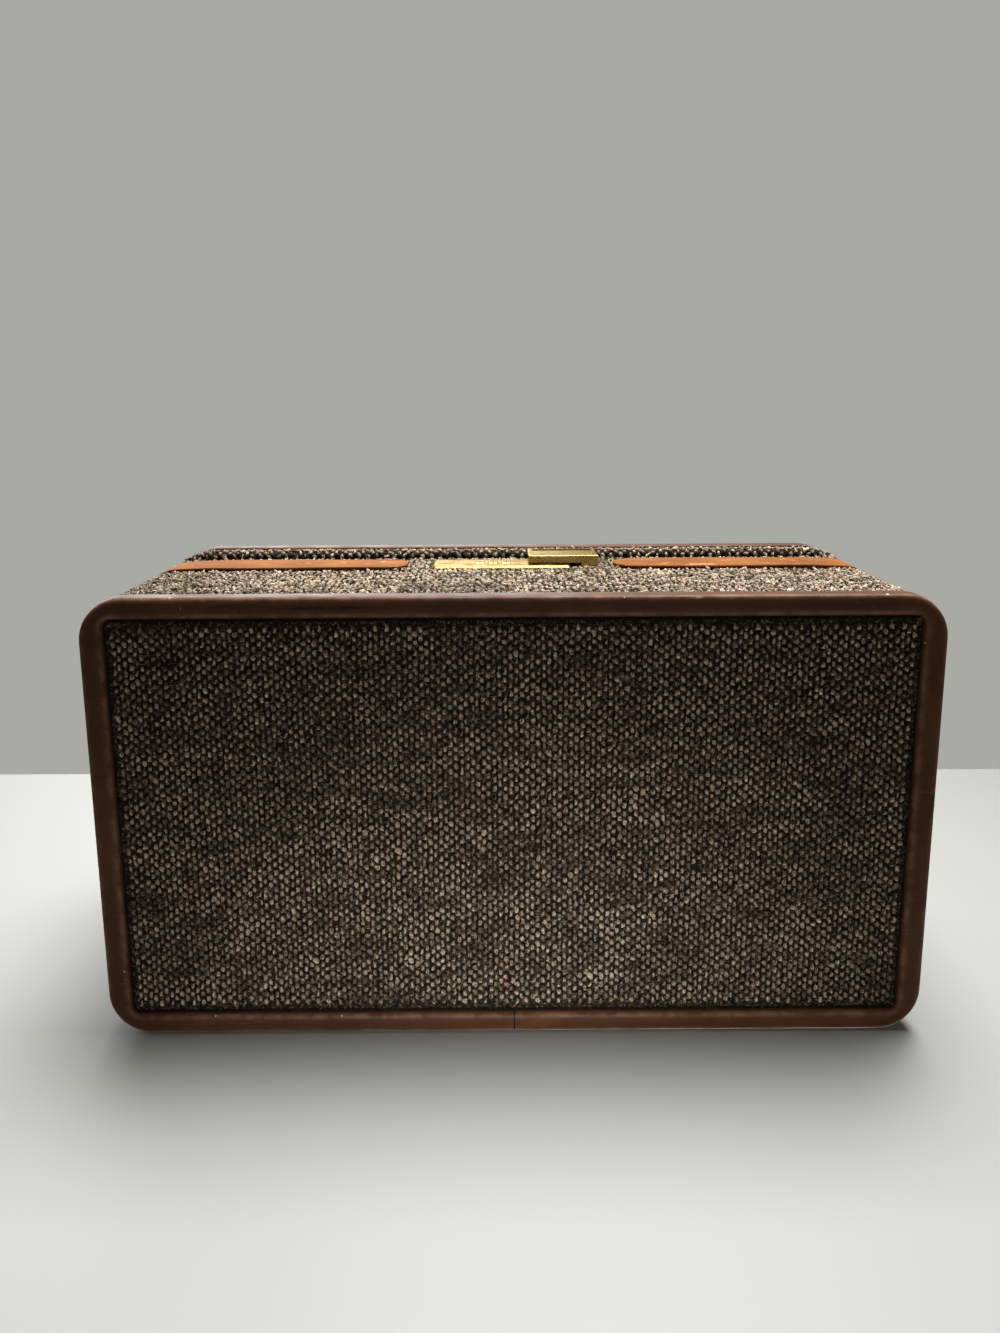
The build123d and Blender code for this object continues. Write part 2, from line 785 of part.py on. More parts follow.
with BuildPart() as lid_strike:
    block((strike_base_left, strike_front_y, strike_base_low),
          (strike_base_left + strike_base_width, strike_back_y,
           strike_base_low + strike_base_height))
    block((hook_left, strike_front_y, hook_low),
          (hook_right, strike_back_y, strike_base_low))
    block((notch_left, strike_front_y, notch_low),
          (hook_right, strike_back_y, notch_high), mode=Mode.SUBTRACT)
    for x in rivet_xs:
        rod_y(x, strike_rivet_z, strike_front_y, strike_back_y, strike_rivet_radius,
              mode=Mode.SUBTRACT)
keep(lid_strike, "lid_strike")

with BuildPart() as strike_rivets:
    for x in rivet_xs:
        rod_y(x, strike_rivet_z, strike_front_y, strike_back_y, strike_rivet_radius)
        rod_y(x, strike_rivet_z, strike_back_y, strike_back_y + rivet_head_thick,
              rivet_head_radius)
keep(strike_rivets, "strike_rivets")

# Mirror under the lid
mirror_low = ceiling - mirror_frame_thick
glass_low = mirror_low + mirror_glass_drop
with BuildPart() as mirror_frame:
    with BuildSketch(Plane.XY.offset(mirror_low)):
        RectangleRounded(mirror_width, mirror_depth, mirror_corner)
        RectangleRounded(mirror_width - 2 * mirror_frame_width,
                         mirror_depth - 2 * mirror_frame_width,
                         mirror_corner / 2, mode=Mode.SUBTRACT)
    extrude(amount=mirror_frame_thick)
    with BuildSketch(Plane.XY.offset(glass_low)):
        RectangleRounded(mirror_width - 2 * mirror_frame_width + 2 * mirror_lap,
                         mirror_depth - 2 * mirror_frame_width + 2 * mirror_lap,
                         mirror_corner / 2)
    extrude(amount=ceiling - glass_low, mode=Mode.SUBTRACT)
keep(mirror_frame, "mirror_frame")

with BuildPart() as mirror_glass:
    with BuildSketch(Plane.XY.offset(glass_low)):
        RectangleRounded(mirror_width - 2 * mirror_frame_width + 2 * mirror_lap,
                         mirror_depth - 2 * mirror_frame_width + 2 * mirror_lap,
                         mirror_corner / 2)
    extrude(amount=mirror_glass_thick)
keep(mirror_glass, "mirror_glass")

# Handle
handle_axis_z = lid_cloth_top + grip_radius + grip_clear
mount_top = lid_cloth_top + mount_thick
ear_inner = eye_length / 2 + ear_gap


def make_handle_mount(x):
    """Base plate with two ears that carry one end of the handle."""
    with BuildPart() as mount:
        with BuildSketch(Plane.XY.offset(lid_cloth_top)):
            with Locations((x, 0)):
                RectangleRounded(mount_length, mount_width, mount_corner)
        extrude(amount=mount_thick)
        for step in (-ear_inner - ear_thick, ear_inner):
            with BuildSketch(Plane(origin=(x + step, 0, 0), x_dir=(0, 1, 0), z_dir=(1, 0, 0))):
                with Locations((0, handle_axis_z)):
                    Circle(ear_radius)
                with Locations((0, (mount_top + handle_axis_z) / 2)):
                    Rectangle(2 * ear_radius, handle_axis_z - mount_top)
            extrude(amount=ear_thick)
        rod_x((x, 0, handle_axis_z), handle_pin_radius, mount_length, mode=Mode.SUBTRACT)
        cut_handle_rivets(lid_cloth_top, mount_top)
    return mount


keep(make_handle_mount(-handle_half_span), "handle_mount_left")
keep(make_handle_mount(handle_half_span), "handle_mount_right")

with BuildPart() as handle_mount_rivets:
    for x, y in handle_rivet_places:
        rod_z(x, y, lid_board_low, mount_top, handle_rivet_radius)
        rod_z(x, y, mount_top, mount_top + handle_rivet_head_thick, handle_rivet_head)
keep(handle_mount_rivets, "handle_mount_rivets")

with BuildPart() as handle_pins:
    for x in handle_places:
        half = ear_inner + ear_thick
        rod_x((x, 0, handle_axis_z), handle_pin_radius, 2 * half)
        for way in (-1, 1):
            rod_x((x + way * (half + handle_pin_head_thick / 2), 0, handle_axis_z),
                  handle_pin_head, handle_pin_head_thick)
keep(handle_pins, "handle_pins")

handle_bar_x = handle_half_span - handle_lean
grip_start_x = handle_half_span - handle_lean * grip_gap / handle_reach
grip_start_y = -grip_gap
handle_plane = Plane.XY.offset(handle_axis_z)


def handle_rod(start_x, start_y, radius, mode=Mode.ADD):
    """Sweep a round rod along the handle's line, from one end to the other."""
    with BuildLine(handle_plane) as line:
        FilletPolyline(
            (start_x, start_y),
            (handle_bar_x, -handle_reach),
            (-handle_bar_x, -handle_reach),
            (-start_x, start_y),
            radius=handle_bend,
        )
    path = line.wire()
    with BuildSketch(Plane(origin=path @ 0, z_dir=path % 0)) as section:
        Circle(radius)
    sweep(section.sketch, path=path, mode=mode)


with BuildPart() as handle_core:
    handle_rod(handle_half_span, 0, core_radius)
    for x in handle_places:
        rod_x((x, 0, handle_axis_z), eye_radius, eye_length)
        rod_x((x, 0, handle_axis_z), handle_pin_radius + handle_pin_gap, eye_length,
              mode=Mode.SUBTRACT)
keep(handle_core, "handle_core")

with BuildPart() as handle_grip:
    handle_rod(grip_start_x, grip_start_y, grip_radius)
    handle_rod(grip_start_x, grip_start_y, core_radius, mode=Mode.SUBTRACT)
keep(handle_grip, "handle_grip")

with BuildPart() as handle_ferrules:
    leg_length = math.hypot(handle_lean, handle_reach)
    for side in (-1, 1):
        leg = Vector(-side * handle_lean / leg_length, -handle_reach / leg_length, 0)
        face = Vector(side * grip_start_x, grip_start_y, handle_axis_z)
        with BuildSketch(Plane(origin=face, z_dir=-leg)):
            Circle(grip_radius + ferrule_proud)
            Circle(core_radius, mode=Mode.SUBTRACT)
        extrude(amount=ferrule_length)
keep(handle_ferrules, "handle_ferrules")

# Tray and what carries it
tray_half_x = half_x - tray_inset_x
tray_half_y = half_y - tray_inset_y
tray_top = box_top - tray_rim_gap
tray_low = tray_top - tray_height
tray_floor_top = tray_low + tray_floor
well_half_x = tray_half_x - tray_wall
well_half_y = tray_half_y - tray_wall
divider_top = tray_top - divider_drop

with BuildPart() as tray_shell:
    with BuildSketch(Plane.XY.offset(tray_low)):
        RectangleRounded(2 * tray_half_x, 2 * tray_half_y, tray_corner)
    extrude(amount=tray_height)
    with BuildSketch(Plane.XY.offset(tray_floor_top)):
        RectangleRounded(2 * well_half_x, 2 * well_half_y, tray_corner - tray_wall)
    extrude(amount=tray_height, mode=Mode.SUBTRACT)
keep(tray_shell, "tray_shell")

with BuildPart() as tray_long_divider:
    block((-well_half_x, divider_y - divider_thick / 2, tray_floor_top),
          (well_half_x, divider_y + divider_thick / 2, divider_top))
keep(tray_long_divider, "tray_long_divider")

with BuildPart() as tray_cross_dividers:
    for x in (-divider_x, divider_x):
        block((x - divider_thick / 2, divider_y + divider_thick / 2, tray_floor_top),
              (x + divider_thick / 2, well_half_y, divider_top))
keep(tray_cross_dividers, "tray_cross_dividers")

with BuildPart() as tray_tabs:
    for side in (-1, 1):
        edge = side * well_half_x
        inner = edge - side * tab_thick
        block((min(edge, inner), -tab_width / 2 + tab_height, tray_top - tab_height),
              (max(edge, inner), tab_width / 2 + tab_height, tray_top))
keep(tray_tabs, "tray_tabs")

ledge_top = tray_low - ledge_top_gap
ledge_half = half_x - lining_inner - ledge_end_gap
for side, name in ((-1, "tray_ledge_front"), (1, "tray_ledge_back")):
    wall = side * (half_y - lining_inner)
    edge = wall - side * ledge_width
    with BuildPart() as ledge:
        block((-ledge_half, min(wall, edge), ledge_top - ledge_thick),
              (ledge_half, max(wall, edge), ledge_top))
    keep(ledge, name)

# Gathered pockets below the ledges
pocket_top = pocket_bottom + pocket_height
for side, name in ((-1, "pocket_front"), (1, "pocket_back")):
    wall = side * (half_y - lining_inner)
    outer = wall - side * pocket_bulge
    skin = outer + side * pocket_skin
    with BuildPart() as pocket:
        block((-pocket_half, min(wall, outer), pocket_bottom),
              (pocket_half, max(wall, outer), pocket_top))
        block((-pocket_half + pocket_skin, min(wall, skin), pocket_bottom + pocket_skin),
              (pocket_half - pocket_skin, max(wall, skin), pocket_top), mode=Mode.SUBTRACT)
    keep(pocket, name)

with BuildPart() as pocket_elastics:
    for side in (-1, 1):
        outer = side * (half_y - lining_inner - pocket_bulge)
        skin = outer + side * pocket_skin
        block((-pocket_half, min(outer, skin), pocket_top),
              (pocket_half, max(outer, skin), pocket_top + elastic_height))
keep(pocket_elastics, "pocket_elastics")
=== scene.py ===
"""Looks of the cosmetic train case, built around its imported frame. Lengths are in metres."""

import math

import bmesh
import bpy
import numpy as np
from mathutils import Matrix, Vector


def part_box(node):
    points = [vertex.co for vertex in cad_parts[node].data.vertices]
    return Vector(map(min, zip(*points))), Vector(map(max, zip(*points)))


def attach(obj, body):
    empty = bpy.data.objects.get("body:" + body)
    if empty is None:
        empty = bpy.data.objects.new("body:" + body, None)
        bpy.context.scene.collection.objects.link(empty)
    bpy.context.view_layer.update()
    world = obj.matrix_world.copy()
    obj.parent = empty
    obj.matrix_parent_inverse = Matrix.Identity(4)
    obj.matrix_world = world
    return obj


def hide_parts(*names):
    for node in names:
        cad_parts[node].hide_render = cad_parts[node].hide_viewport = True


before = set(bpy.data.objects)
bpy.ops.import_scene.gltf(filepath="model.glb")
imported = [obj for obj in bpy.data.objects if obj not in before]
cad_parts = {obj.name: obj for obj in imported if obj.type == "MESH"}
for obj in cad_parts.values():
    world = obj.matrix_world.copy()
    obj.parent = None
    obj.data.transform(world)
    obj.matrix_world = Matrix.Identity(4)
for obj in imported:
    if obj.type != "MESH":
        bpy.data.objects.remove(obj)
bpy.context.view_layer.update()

MM = 0.001
TINY = 1e-6

# The walls stand round a middle that lies a little behind the frame's origin
MIDDLE_Y = (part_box("bottom_moulding")[0].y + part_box("bottom_moulding")[1].y) / 2


def place_of(node):
    """A node's lowest and highest corners, counted from the middle of the walls."""
    low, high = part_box(node)
    return low - Vector((0, MIDDLE_Y, 0)), high - Vector((0, MIDDLE_Y, 0))


# Places read from the frame
HALF_X, HALF_Y, FLANGE_TOP = place_of("bottom_moulding")[1]
CLOTH_X, CLOTH_Y, BOX_TOP = place_of("body_tweed")[1]
CASE_TOP = place_of("lid_moulding")[1].z
FLANGE_LOW = place_of("lid_moulding")[0].z
LID_LOW = place_of("lid_tweed")[0].z
LID_CLOTH_TOP = place_of("lid_top_tweed")[1].z
PANEL_Z = place_of("bottom_tweed")[0].z
RIM_SIDE = place_of("lid_tweed")[1].x - CLOTH_X
RIM_FRONT = -place_of("lid_tweed")[0].y - CLOTH_Y

# Sizes of the case's finish
CORNER = 20 * MM
CLOTH_INSET = HALF_X - CLOTH_X
FOOT_WIDTH = 10 * MM
FLARE = 24 * MM
RIM_GROWTH = 12 * MM
KNOT_ACROSS = 2.46 * MM
KNOT_ALONG = 4.2 * MM
PANEL_HALF_X = HALF_X - FOOT_WIDTH
PANEL_HALF_Y = HALF_Y - FOOT_WIDTH
# Width of the band of painted shade on the panel ground, next to the moulding's lip
GROUND_GAP_X = 1.6 * MM
GROUND_GAP_Y = 1.2 * MM


def srgb(red, green, blue):
    """Turn a colour written 0 to 255 into the linear colour that a shader takes."""
    parts = []
    for value in (red, green, blue):
        share = value / 255
        parts.append(share / 12.92 if share <= 0.04045 else ((share + 0.055) / 1.055) ** 2.4)
    return (*parts, 1.0)


# Shader helpers
def plug(tree, socket, value):
    """Link a socket to another one, or give it a plain value."""
    if isinstance(value, bpy.types.NodeSocket):
        tree.links.new(value, socket)
    else:
        socket.default_value = value


def fill(tree, node, **inputs):
    """Give a node its inputs by name; an underscore stands for a space."""
    for key, value in inputs.items():
        plug(tree, node.inputs[key.replace("_", " ")], value)
    return node


def add(tree, kind, settings=None, **inputs):
    """Add a node, with its settings and its inputs by name."""
    made = tree.nodes.new(kind)
    for key, value in (settings or {}).items():
        setattr(made, key, value)
    return fill(tree, made, **inputs)


def blend_colours(tree, factor, first, second, mode="MIX"):
    """Mix two colours and return the result's socket."""
    made = tree.nodes.new("ShaderNodeMix")
    made.data_type = "RGBA"
    made.blend_type = mode
    plug(tree, made.inputs[0], factor)
    plug(tree, made.inputs[6], first)
    plug(tree, made.inputs[7], second)
    return made.outputs[2]


def maths(tree, operation, first, second=0.0):
    """Join two values by an operation and return the result's socket."""
    made = tree.nodes.new("ShaderNodeMath")
    made.operation = operation
    plug(tree, made.inputs[0], first)
    plug(tree, made.inputs[1], second)
    return made.outputs[0]


def ramp(tree, factor, stops):
    """Run a value through a colour ramp with the given stops."""
    made = tree.nodes.new("ShaderNodeValToRGB")
    points = made.color_ramp.elements
    while len(points) < len(stops):
        points.new(0.5)
    for point, (place, colour) in zip(points, stops):
        point.position = place
        point.color = colour
    plug(tree, made.inputs[0], factor)
    return made.outputs[0]


def grey(value):
    """A grey for a mask."""
    return (value, value, value, 1.0)


def fade(tree, value, start, end, low=0, high=1):
    """A grey that goes from low to high while a value goes from start to end."""
    return ramp(tree, value, [(start, grey(low)), (end, grey(high))])


def noise(tree, vector, scale, detail=3.0, rough=0.5, stretch=None):
    """Noise on the piece's own coordinates, stretched along an axis if asked."""
    if stretch is not None:
        vector = add(tree, "ShaderNodeMapping", Vector=vector, Scale=stretch).outputs[0]
    made = add(tree, "ShaderNodeTexNoise", Vector=vector, Scale=scale, Detail=detail,
               Roughness=rough)
    return made.outputs[0]


def stored(tree, name):
    """A value that the mesh carries for each point."""
    return add(tree, "ShaderNodeAttribute", {"attribute_name": name}).outputs["Fac"]


def bump(tree, height, strength, distance, under=None):
    """A bump from a height, laid over another one if given."""
    made = add(tree, "ShaderNodeBump", Height=height, Strength=strength, Distance=distance)
    if under is not None:
        tree.links.new(under, made.inputs["Normal"])
    return made.outputs[0]


def new_material(name):
    """A material with its tree, its shader and the piece's own coordinates."""
    material = bpy.data.materials.new(name)
    material.use_nodes = True
    tree = material.node_tree
    here = tree.nodes.new("ShaderNodeTexCoord").outputs["Object"]
    return material, tree, tree.nodes["Principled BSDF"], here


def new_group(name, inputs, outputs):
    """A shader group with named inputs (name, kind, value) and outputs (name, kind)."""
    tree = bpy.data.node_groups.new(name, "ShaderNodeTree")
    for label, kind, value in inputs:
        made = tree.interface.new_socket(label, in_out="INPUT", socket_type=kind)
        if value is not None:
            made.default_value = value
    for label, kind in outputs:
        tree.interface.new_socket(label, in_out="OUTPUT", socket_type=kind)
    return tree, tree.nodes.new("NodeGroupInput"), tree.nodes.new("NodeGroupOutput")


def use_group(tree, group, **inputs):
    """Place a group in a material with its own values."""
    return add(tree, "ShaderNodeGroup", {"node_tree": group}, **inputs)


def mix_shaders(tree, factor, first, second, output):
    """Mix two shader nodes and show the result as the surface of an output node."""
    both = tree.nodes.new("ShaderNodeMixShader")
    plug(tree, both.inputs[0], factor)
    tree.links.new(first.outputs[0], both.inputs[1])
    tree.links.new(second.outputs[0], both.inputs[2])
    tree.links.new(both.outputs[0], tree.nodes[output].inputs["Surface"])


def mark(tree, vector, place, size):
    """A soft spot of a given size round a place, as a mask."""
    scale = [1 / part for part in size]
    shift = [-at * by for at, by in zip(place, scale)]
    near = add(tree, "ShaderNodeMapping", Vector=vector, Location=shift, Scale=scale).outputs[0]
    far = add(tree, "ShaderNodeVectorMath", {"operation": "LENGTH"})
    tree.links.new(near, far.inputs[0])
    return fade(tree, far.outputs["Value"], 0.35, 1.0, 1, 0)


FLOAT, COLOUR, VECTOR = "NodeSocketFloat", "NodeSocketColor", "NodeSocketVector"


def make_grain_group():
    """Leather or vinyl grain: small cells with creases between them."""
    tree, given, result = new_group(
        "grain", [("Vector", VECTOR, None), ("Scale", FLOAT, 900.0)], [("Height", FLOAT)])
    cells = add(tree, "ShaderNodeTexVoronoi", {"feature": "SMOOTH_F1"},
                Vector=given.outputs["Vector"], Scale=given.outputs["Scale"])
    fine = noise(tree, given.outputs["Vector"], maths(tree, "MULTIPLY",
                 given.outputs["Scale"], 2.2), 4.0)
    total = maths(tree, "ADD", cells.outputs["Distance"], maths(tree, "MULTIPLY", fine, 0.5))
    tree.links.new(total, result.inputs["Height"])
    return tree


def make_scratch_group():
    """Fine scratches and rubbed patches, as a mask."""
    tree, given, result = new_group(
        "scratches",
        [("Vector", VECTOR, None), ("Amount", FLOAT, 0.5)], [("Mask", FLOAT)])
    vector = given.outputs["Vector"]
    total = None
    for turn, scale in ((0.5, 60.0), (1.7, 85.0), (2.6, 70.0)):
        turned = add(tree, "ShaderNodeMapping", Vector=vector, Rotation=(turn, turn / 2, turn),
                     Scale=(1.0, 14.0, 1.0)).outputs[0]
        lines = noise(tree, turned, scale, 1.0)
        thin = ramp(tree, lines, [(0.69, grey(0)), (0.72, grey(1)), (0.75, grey(0))])
        total = thin if total is None else maths(tree, "MAXIMUM", total, thin)
    patch = fade(tree, noise(tree, vector, 18.0, 2.0), 0.5, 0.62)
    mask = maths(tree, "MULTIPLY", maths(tree, "MULTIPLY", total, patch),
                 given.outputs["Amount"])
    tree.links.new(mask, result.inputs["Mask"])
    return tree


def make_yarn_group():
    """Tweed yarn: a colour for each knot, twisted strands, dark streaks, patches of dirt and
    painted shade towards each knot's foot.
    """
    tree, given, result = new_group(
        "tweed yarn",
        [("Vector", VECTOR, None), ("Shade", FLOAT, 0.5), ("Depth", FLOAT, 1.0)],
        [("Color", COLOUR), ("Height", FLOAT)])
    vector = given.outputs["Vector"]
    yarn = ramp(tree, given.outputs["Shade"], [
        (0.00, srgb(142, 132, 112)), (0.13, srgb(206, 186, 168)), (0.27, srgb(250, 218, 200)),
        (0.41, srgb(230, 214, 190)), (0.53, srgb(255, 238, 216)), (0.67, srgb(164, 154, 132)),
        (0.79, srgb(246, 224, 202)), (0.92, srgb(255, 248, 230))])
    strands = noise(tree, vector, 1500.0, 3.0, 0.6)
    mottled = blend_colours(tree, 0.9, yarn, ramp(
        tree, strands, [(0.36, srgb(72, 64, 54)), (0.5, srgb(200, 196, 188)),
                        (0.64, srgb(254, 254, 252))]), "MULTIPLY")
    patches = ramp(tree, noise(tree, vector, 16.0, 6.0, 0.65),
                   [(0.36, srgb(140, 142, 124)), (0.5, srgb(255, 253, 248))])
    streaks = ramp(tree, noise(tree, vector, 260.0, 4.0, 0.65, (0.2, 1.0, 1.0)),
                   [(0.4, srgb(112, 104, 92)), (0.55, srgb(255, 251, 247))])
    streaked = blend_colours(tree, 0.75, mottled, streaks, "MULTIPLY")
    stained = blend_colours(tree, 0.6, streaked, patches, "MULTIPLY")
    # Painted shade: each knot's colour falls to near black towards its foot as the Depth value
    # drops
    shaded = blend_colours(tree, given.outputs["Depth"], srgb(26, 21, 15), stained)
    tree.links.new(shaded, result.inputs["Color"])
    tree.links.new(strands, result.inputs["Height"])
    return tree


GRAIN = make_grain_group()
SCRATCHES = make_scratch_group()
YARN = make_yarn_group()


# Materials
def make_tweed():
    """Knotted tweed: each knot carries its own shade of yarn, with painted shade where it sinks
    into the cloth.
    """
    material, tree, shader, here = new_material("tweed knots")
    shade = stored(tree, "shade")
    lit_share = stored(tree, "lit_share")
    yarn = use_group(tree, YARN, Vector=here, Shade=shade, Depth=lit_share)
    fill(tree, shader, Base_Color=yarn.outputs["Color"], Roughness=0.95,
         Specular_IOR_Level=0.15, Normal=bump(tree, yarn.outputs["Height"], 0.8, 0.0003))
    return material


def make_tweed_ground(name, half_x=1.0, half_y=1.0):
    """The dark ground cloth under the knots, with painted shade, nearly black, beyond the half
    sizes given.
    """
    material, tree, shader, here = new_material(name)
    threads = noise(tree, here, 800.0, 4.0, 0.75)
    colour = ramp(tree, threads, [(0.44, srgb(14, 11, 8)), (0.56, srgb(50, 42, 32)),
                                  (0.68, srgb(128, 114, 94))])
    split = add(tree, "ShaderNodeSeparateXYZ", Vector=here)
    far_x = maths(tree, "GREATER_THAN", maths(tree, "ABSOLUTE", split.outputs["X"]), half_x)
    far_y = maths(tree, "GREATER_THAN", maths(tree, "ABSOLUTE", maths(
        tree, "SUBTRACT", split.outputs["Y"], MIDDLE_Y)), half_y)
    # Painted shade in the recess along the moulding: the ground goes nearly black near the
    # panel's edge
    recess_shade = maths(tree, "MULTIPLY", maths(tree, "MAXIMUM", far_x, far_y), 0.85)
    fill(tree, shader, Base_Color=blend_colours(tree, recess_shade, colour, srgb(10, 8, 6)),
         Roughness=0.97, Specular_IOR_Level=0.1, Normal=bump(tree, threads, 0.6, 0.0004))
    return material


SCUFF_PLACE = (-84 * MM, MIDDLE_Y - 99.4 * MM, 0.0)
SCUFF_SIZE = (34 * MM, 1.1 * MM, 6 * MM)
NICKS = [((-144.4 * MM, -99.6 * MM), (0.4 * MM, 1.5 * MM)),
         ((-184.5 * MM, -98.5 * MM), (0.5 * MM, 1.6 * MM)),
         ((-143.4 * MM, -95.4 * MM), (1.1 * MM, 0.6 * MM)),
         ((80.0 * MM, -103.0 * MM), (3.0 * MM, 0.6 * MM))]
SEAM_WIDTH = 0.35 * MM


def make_vinyl():
    """Moulded brown edging: satin, with scuffs, pale nicks, rubbed edges, a painted highlight
    along the inner lip and its back seam.
    """
    material, tree, shader, here = new_material("moulded vinyl")
    edge = stored(tree, "edge")
    cloudy = noise(tree, here, 14.0, 5.0, 0.6)
    base = ramp(tree, cloudy, [(0.3, srgb(58, 34, 18)), (0.5, srgb(71, 42, 23)),
                               (0.7, srgb(86, 53, 31))])
    # Paler rubbed colour where the section's wear is high: real wear on the ridges, and a
    # painted highlight along the inner lip
    rubbed = maths(tree, "MULTIPLY", edge, fade(
        tree, noise(tree, here, 90.0, 4.0, 0.65), 0.4, 0.62, 0.1, 0.8))
    worn_and_lip_highlight = blend_colours(tree, rubbed, base, srgb(118, 84, 68))
    pale = use_group(tree, SCRATCHES, Vector=here, Amount=0.28).outputs["Mask"]
    for (x, y), (wide, deep) in NICKS:
        spot = mark(tree, here, (x, MIDDLE_Y + y, 0), (wide, deep, 5 * MM))
        pale = maths(tree, "MAXIMUM", pale, spot)
    rough = fade(tree, noise(tree, here, 700.0, 3.0, 0.6), 0.4, 0.55)
    pale = maths(tree, "MULTIPLY", pale, rough)
    marked = blend_colours(tree, pale, worn_and_lip_highlight, srgb(150, 128, 112))
    nicks = fade(tree, noise(tree, here, 260.0, 2.0, 0.4), 0.745, 0.765)
    nicked = blend_colours(tree, maths(tree, "MULTIPLY", nicks, edge), marked,
                           srgb(196, 182, 170))
    streak = fade(tree, noise(tree, here, 120.0, 2.0, 0.4, (0.12, 1.0, 1.0)), 0.72, 0.76, 0, 0.8)
    scuff = maths(tree, "MULTIPLY", mark(tree, here, SCUFF_PLACE, SCUFF_SIZE), fade(
        tree, noise(tree, here, 300.0, 3.0, 0.6, (0.1, 1.0, 1.0)), 0.42, 0.52))
    split = add(tree, "ShaderNodeSeparateXYZ", Vector=here)
    seam = maths(tree, "MULTIPLY", maths(tree, "LESS_THAN", maths(
        tree, "ABSOLUTE", split.outputs["X"]), SEAM_WIDTH), maths(
            tree, "GREATER_THAN", split.outputs["Y"], 0.0))
    dark = maths(tree, "MAXIMUM", maths(tree, "MAXIMUM", streak, scuff), seam)
    grain = use_group(tree, GRAIN, Vector=here, Scale=1400.0).outputs["Height"]
    wavy = bump(tree, noise(tree, here, 45.0, 2.0), 0.25, 0.0012)
    sunk = bump(tree, maths(tree, "SUBTRACT", 1.0, seam), 0.5, 0.0004, wavy)
    fill(tree, shader, Base_Color=blend_colours(tree, dark, nicked, srgb(16, 11, 9)),
         Roughness=fade(tree, noise(tree, here, 60.0, 4.0), 0.3, 0.7, 0.4, 0.6),
         Specular_IOR_Level=0.12, Normal=bump(tree, grain, 0.12, 0.0002, sunk))
    return material


def make_leather():
    """Tan leather, rubbed pale in places, scratched, and darker at its edges."""
    material, tree, shader, here = new_material("tan leather")
    edge = stored(tree, "edge")
    cloudy = noise(tree, here, 30.0, 6.0, 0.65)
    base = ramp(tree, cloudy, [(0.28, srgb(100, 57, 23)), (0.5, srgb(118, 71, 30)),
                               (0.72, srgb(136, 87, 45))])
    rubbed = fade(tree, noise(tree, here, 150.0, 5.0, 0.7, (0.5, 1.0, 1.0)), 0.54, 0.7, 0, 0.35)
    pale = blend_colours(tree, rubbed, base, srgb(172, 122, 80))
    marks = use_group(tree, SCRATCHES, Vector=here, Amount=0.7).outputs["Mask"]
    marked = blend_colours(tree, marks, pale, srgb(186, 140, 98))
    grain = use_group(tree, GRAIN, Vector=here, Scale=1100.0).outputs["Height"]
    dark = maths(tree, "MULTIPLY", edge, 0.8)
    fill(tree, shader, Base_Color=blend_colours(tree, dark, marked, srgb(78, 38, 18)),
         Roughness=fade(tree, cloudy, 0.3, 0.7, 0.68, 0.85), Specular_IOR_Level=0.05,
         Normal=bump(tree, grain, 0.35, 0.0003))
    return material


def make_metal(name, light, dark, stain, rough):
    """Worn plated metal with fine scratches and patches of tarnish."""
    material, tree, shader, here = new_material(name)
    tarnish = fade(tree, noise(tree, here, 120.0, 6.0, 0.7), 0.46, 0.68)
    base = blend_colours(tree, noise(tree, here, 40.0, 3.0), light, dark)
    colour = blend_colours(tree, maths(tree, "MULTIPLY", tarnish, 0.6), base, stain)
    marks = use_group(tree, SCRATCHES, Vector=here, Amount=1.0).outputs["Mask"]
    soft = bump(tree, noise(tree, here, 500.0, 3.0), 0.08, 0.0002)
    fill(tree, shader, Base_Color=colour, Metallic=1.0, Specular_Tint=srgb(186, 172, 142),
         Roughness=fade(tree, tarnish, 0.0, 1.0, rough, min(rough + 0.22, 1.0)),
         Normal=bump(tree, marks, 0.3, 0.0001, soft))
    return material


def make_satin():
    """Lining satin with a fine weave and soft waves."""
    material, tree, shader, here = new_material("lining satin")
    soft = noise(tree, here, 25.0, 4.0)
    colour = ramp(tree, soft, [(0.3, srgb(150, 104, 72)), (0.7, srgb(186, 138, 100))])
    fine = add(tree, "ShaderNodeTexWave", {"bands_direction": "DIAGONAL"}, Vector=here,
               Scale=900.0, Distortion=1.0, Detail=2.0).outputs["Fac"]
    waves = bump(tree, noise(tree, here, 30.0, 3.0), 0.35, 0.003)
    fill(tree, shader, Base_Color=colour, Roughness=fade(tree, soft, 0.3, 0.7, 0.38, 0.5),
         Normal=bump(tree, fine, 0.25, 0.0002, waves))
    return material


def make_plain(name, low, high, rough, scale=60.0, grain=0.0):
    """A plain finish whose colour drifts between two tones, with a grain if asked."""
    material, tree, shader, here = new_material(name)
    drift = noise(tree, here, scale, 5.0, 0.6)
    shine = fade(tree, noise(tree, here, scale * 3, 3.0), 0.3, 0.7,
                 rough - 0.07, min(rough + 0.07, 1.0))
    fine = use_group(tree, GRAIN, Vector=here, Scale=1300.0).outputs["Height"]
    fill(tree, shader, Base_Color=ramp(tree, drift, [(0.3, low), (0.7, high)]),
         Roughness=shine, Normal=bump(tree, fine, 0.1 + grain, 0.0002))
    return material


def make_wood():
    """Bare plywood, with its grain along the board."""
    material, tree, shader, here = new_material("plywood")
    lines = noise(tree, here, 120.0, 5.0, 0.6, (0.08, 1.0, 1.0))
    colour = ramp(tree, lines, [(0.3, srgb(142, 108, 72)), (0.7, srgb(190, 154, 110))])
    fill(tree, shader, Base_Color=colour, Roughness=0.8, Normal=bump(tree, lines, 0.3, 0.0003))
    return material


def make_mirror():
    """Silvered glass."""
    material, tree, shader, here = new_material("mirror")
    film = fade(tree, noise(tree, here, 30.0, 3.0), 0.4, 0.75, 0.02, 0.08)
    fill(tree, shader, Base_Color=srgb(232, 236, 236), Metallic=1.0, Roughness=film)
    return material


